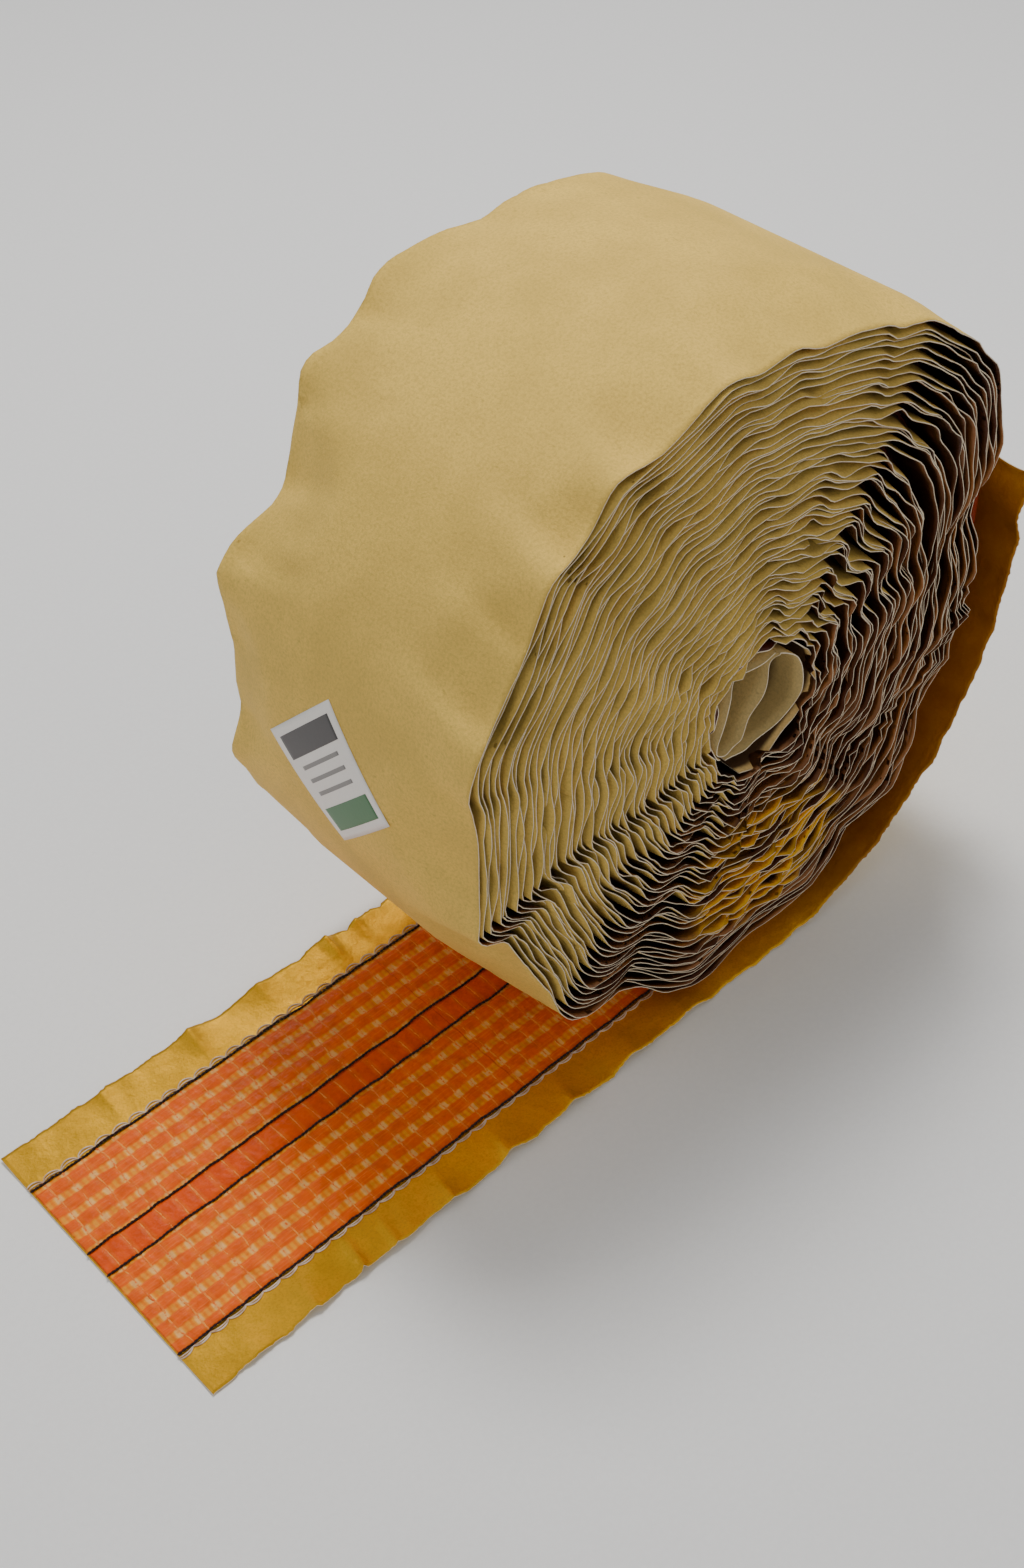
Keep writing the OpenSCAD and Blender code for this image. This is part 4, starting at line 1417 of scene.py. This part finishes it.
@dataclass(frozen=True)
class Leader:
    """The tape's first end, folded in the eye: two loops side by side, and a lining round them.

    The routes are points (x, z) from the roll's axis, seen from the front face.
    """

    thick: float = 0.32
    places: int = 280
    loops: tuple[tuple[float, float], ...] = (
        (6.7, 8.0), (1.1, 7.6), (-6.1, 6.9), (-9.1, 4.9), (-11.1, 1.5), (-13.2, -4.6), (-14.4, -11.3),
        (-13.4, -17.3), (-11.7, -19.2), (-9.0, -18.7), (-6.3, -17.1), (-4.9, -14.9), (-2.0, -10.9), (1.1, -5.7),
        (4.0, 0.6), (6.1, 4.9), (7.2, 7.3), (8.4, 7.1), (15.4, 2.3), (17.7, -0.6), (18.7, -4.6), (18.9, -11.3),
        (16.8, -15.8), (11.8, -18.9), (7.0, -20.6), (0.1, -20.6), (-5.1, -21.0), (-10.4, -20.9))
    lining: tuple[tuple[float, float], ...] = (
        (-11.5, -20.4), (-14.9, -17.0), (-17.1, -9.8), (-16.4, -6.5), (-15.4, -1.6), (-15.2, 2.0), (-11.5, 5.3),
        (-8.3, 9.0), (-5.5, 11.0), (0.6, 11.2), (7.0, 10.3), (13.6, 8.0), (19.6, 2.7), (23.3, -1.7),
        (25.6, -10.3), (24.0, -15.9), (19.8, -21.2), (14.7, -25.2), (4.2, -31.0), (-3.0, -30.5))

    def sheet(self, name: str, route: Sequence[tuple[float, float]], drawn: float,
              *finishes: Finish) -> bpy.types.Object:
        """A sheet that follows a route from face to face of the roll.

        Args:
            name: the piece's name.
            route: the points that it follows.
            drawn: how far its edges stay inside the roll's faces.
            finishes: the finish of its left side, its right side and its rim.

        Returns:
            The piece, which rides on the coil.
        """
        line = spline(route, self.places)
        heading = np.gradient(line, axis=0)
        heading /= np.linalg.norm(heading, axis=1)[:, None]
        left = np.stack([-heading[:, 1], heading[:, 0]], -1)
        y = np.linspace(-1, 1, 25)[None, :] * (TAPE.half - drawn)
        count = np.arange(self.places) * 0.5
        wave = 0.35 * Ripple(17.0, 140)(count)[:, None] * (np.abs(y) / TAPE.half) ** 4
        stray = 0.8 * Ripple(22.0, 141)(count)[:, None] * np.sign(y) * (np.abs(y) > TAPE.half - drawn - 0.1)

        def lay(offset: float) -> np.ndarray:
            """The sheet offset to its left."""
            p = line[:, None, :] + left[:, None, :] * (offset + wave[..., None])
            return np.stack([p[..., 0], np.broadcast_to(y + stray, p.shape[:2]), p[..., 1] + TAPE.axis_height], -1)

        s = np.cumsum(np.r_[0, np.linalg.norm(np.diff(line, axis=0), axis=1)])
        layer = (lay(self.thick / 2), lay(-self.thick / 2), paired(s[:, None], y))
        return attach(sheets(name, [layer], *finishes), "coil")

    def make(self) -> None:
        """Makes the folded loops and the lining."""
        fold = self.sheet("leader_loops", self.loops, 1.0, Finish.LEADER_KRAFT, Finish.LEADER_KRAFT, Finish.EDGE)
        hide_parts("leader_fold")
        # the lining's left side takes the coil's adhesive finish, painted dark brown as shade
        lining = self.sheet("leader_lining", self.lining, 1.6, Finish.WOUND, Finish.LEADER_GOLD, Finish.EDGE)


# ---------------------------------------------------------------- camera, light and floor


@dataclass(frozen=True)
class Studio:
    """A pale floor, soft light from above and a camera.

    The camera's place, target and lens are in millimetres and its roll is in degrees. lamps holds for each area
    light its name, its place and its size in metres, its watts and its colour; they look at aim, in metres.
    """

    camera: Triple = (-346.5, -329.4, 468.1)
    target: Triple = (-32.5, 14.5, 53.1)
    roll: float = 0.18
    lens: float = 47.7
    zenith: float = 0.46
    horizon: float = 0.40
    floor_half: float = 4000.0
    floor_level: float = -0.3
    aim: Triple = (0.0, 0.0, 0.08)
    lamps: tuple[tuple[str, Triple, float, float, Colour], ...] = (
        ("key", (0.26, 0.34, 1.30), 0.36, 13.0, (1.0, 0.98, 0.95)),
        ("glint", (0.62, 0.92, 1.20), 0.40, 3.4, (1.0, 0.97, 0.92)),
        ("fill", (-1.20, 0.45, 0.90), 0.8, 1.6, (1.0, 0.99, 0.97)),
        ("front", (-0.6, -1.3, 0.9), 0.9, 1.0, (1.0, 0.99, 0.97)))

    def shoot(self) -> None:
        """Makes the camera."""
        data = bpy.data.cameras.new("camera")
        data.lens = self.lens
        data.sensor_width = 36.0
        data.clip_start = 0.01
        camera = bpy.data.objects.new("camera", data)
        bpy.context.scene.collection.objects.link(camera)
        place, target = Vector(self.camera) * MM, Vector(self.target) * MM
        aim = (target - place).to_track_quat("-Z", "Y")
        camera.location = place
        camera.rotation_mode = "QUATERNION"
        camera.rotation_quaternion = aim @ Quaternion((0, 0, 1), math.radians(self.roll))
        bpy.context.scene.camera = camera

    def lamp(self, name: str, place: Triple, size: float, watts: float, colour: Colour) -> None:
        """Makes an area light; the key light makes no glints and the glint light only those."""
        data = bpy.data.lights.new(name, "AREA")
        data.size, data.energy, data.color = size, watts, colour
        lamp = bpy.data.objects.new(name, data)
        bpy.context.scene.collection.objects.link(lamp)
        lamp.location = Vector(place)
        lamp.rotation_mode = "QUATERNION"
        lamp.rotation_quaternion = (Vector(self.aim) - lamp.location).to_track_quat("-Z", "Y")
        lamp.visible_glossy = name != "key"
        lamp.visible_diffuse = name != "glint"

    def set_up(self) -> None:
        """Makes the floor, the lights and the sky."""
        build = Build("floor")
        edge = np.linspace(-self.floor_half, self.floor_half, 3)
        x, y = np.meshgrid(edge, edge, indexing="ij")
        points = np.stack([x, y, np.full_like(x, self.floor_level)], -1)
        build.add(points, quads(3, 3)[:, ::-1], points[..., :2])
        build.finish([Print("floor", (0.92, 0.92, 0.92), 0.9).material()])
        for lamp in self.lamps:
            self.lamp(*lamp)
        world = bpy.data.worlds.new("sky")
        world.use_nodes = True
        nodes, links = world.node_tree.nodes, world.node_tree.links
        sky = next(n for n in nodes if n.type == "BACKGROUND")
        place, split, height = (nodes.new(f"ShaderNode{kind}") for kind in ("TexCoord", "SeparateXYZ", "MapRange"))
        sky.inputs[0].default_value = (1.0, 1.0, 1.0, 1.0)
        height.inputs["From Min"].default_value = -0.1
        height.inputs["To Min"].default_value = self.horizon
        height.inputs["To Max"].default_value = self.zenith
        links.new(place.outputs["Generated"], split.inputs[0])
        links.new(split.outputs[2], height.inputs["Value"])
        links.new(height.outputs[0], sky.inputs[1])
        bpy.context.scene.world = world


def main() -> None:
    """Makes the camera, builds the object in order, then the floor, the lamps and the sky."""
    logging.basicConfig(level=logging.INFO, format="%(name)s: %(message)s")
    studio = Studio()
    studio.shoot()
    WoundCoil().make()
    LaidPaper().make()
    BAND.make()
    Scrim().make()
    Stitching().make()
    Label().make()
    Leader().make()
    studio.set_up()


if __name__ == "__main__":
    main()
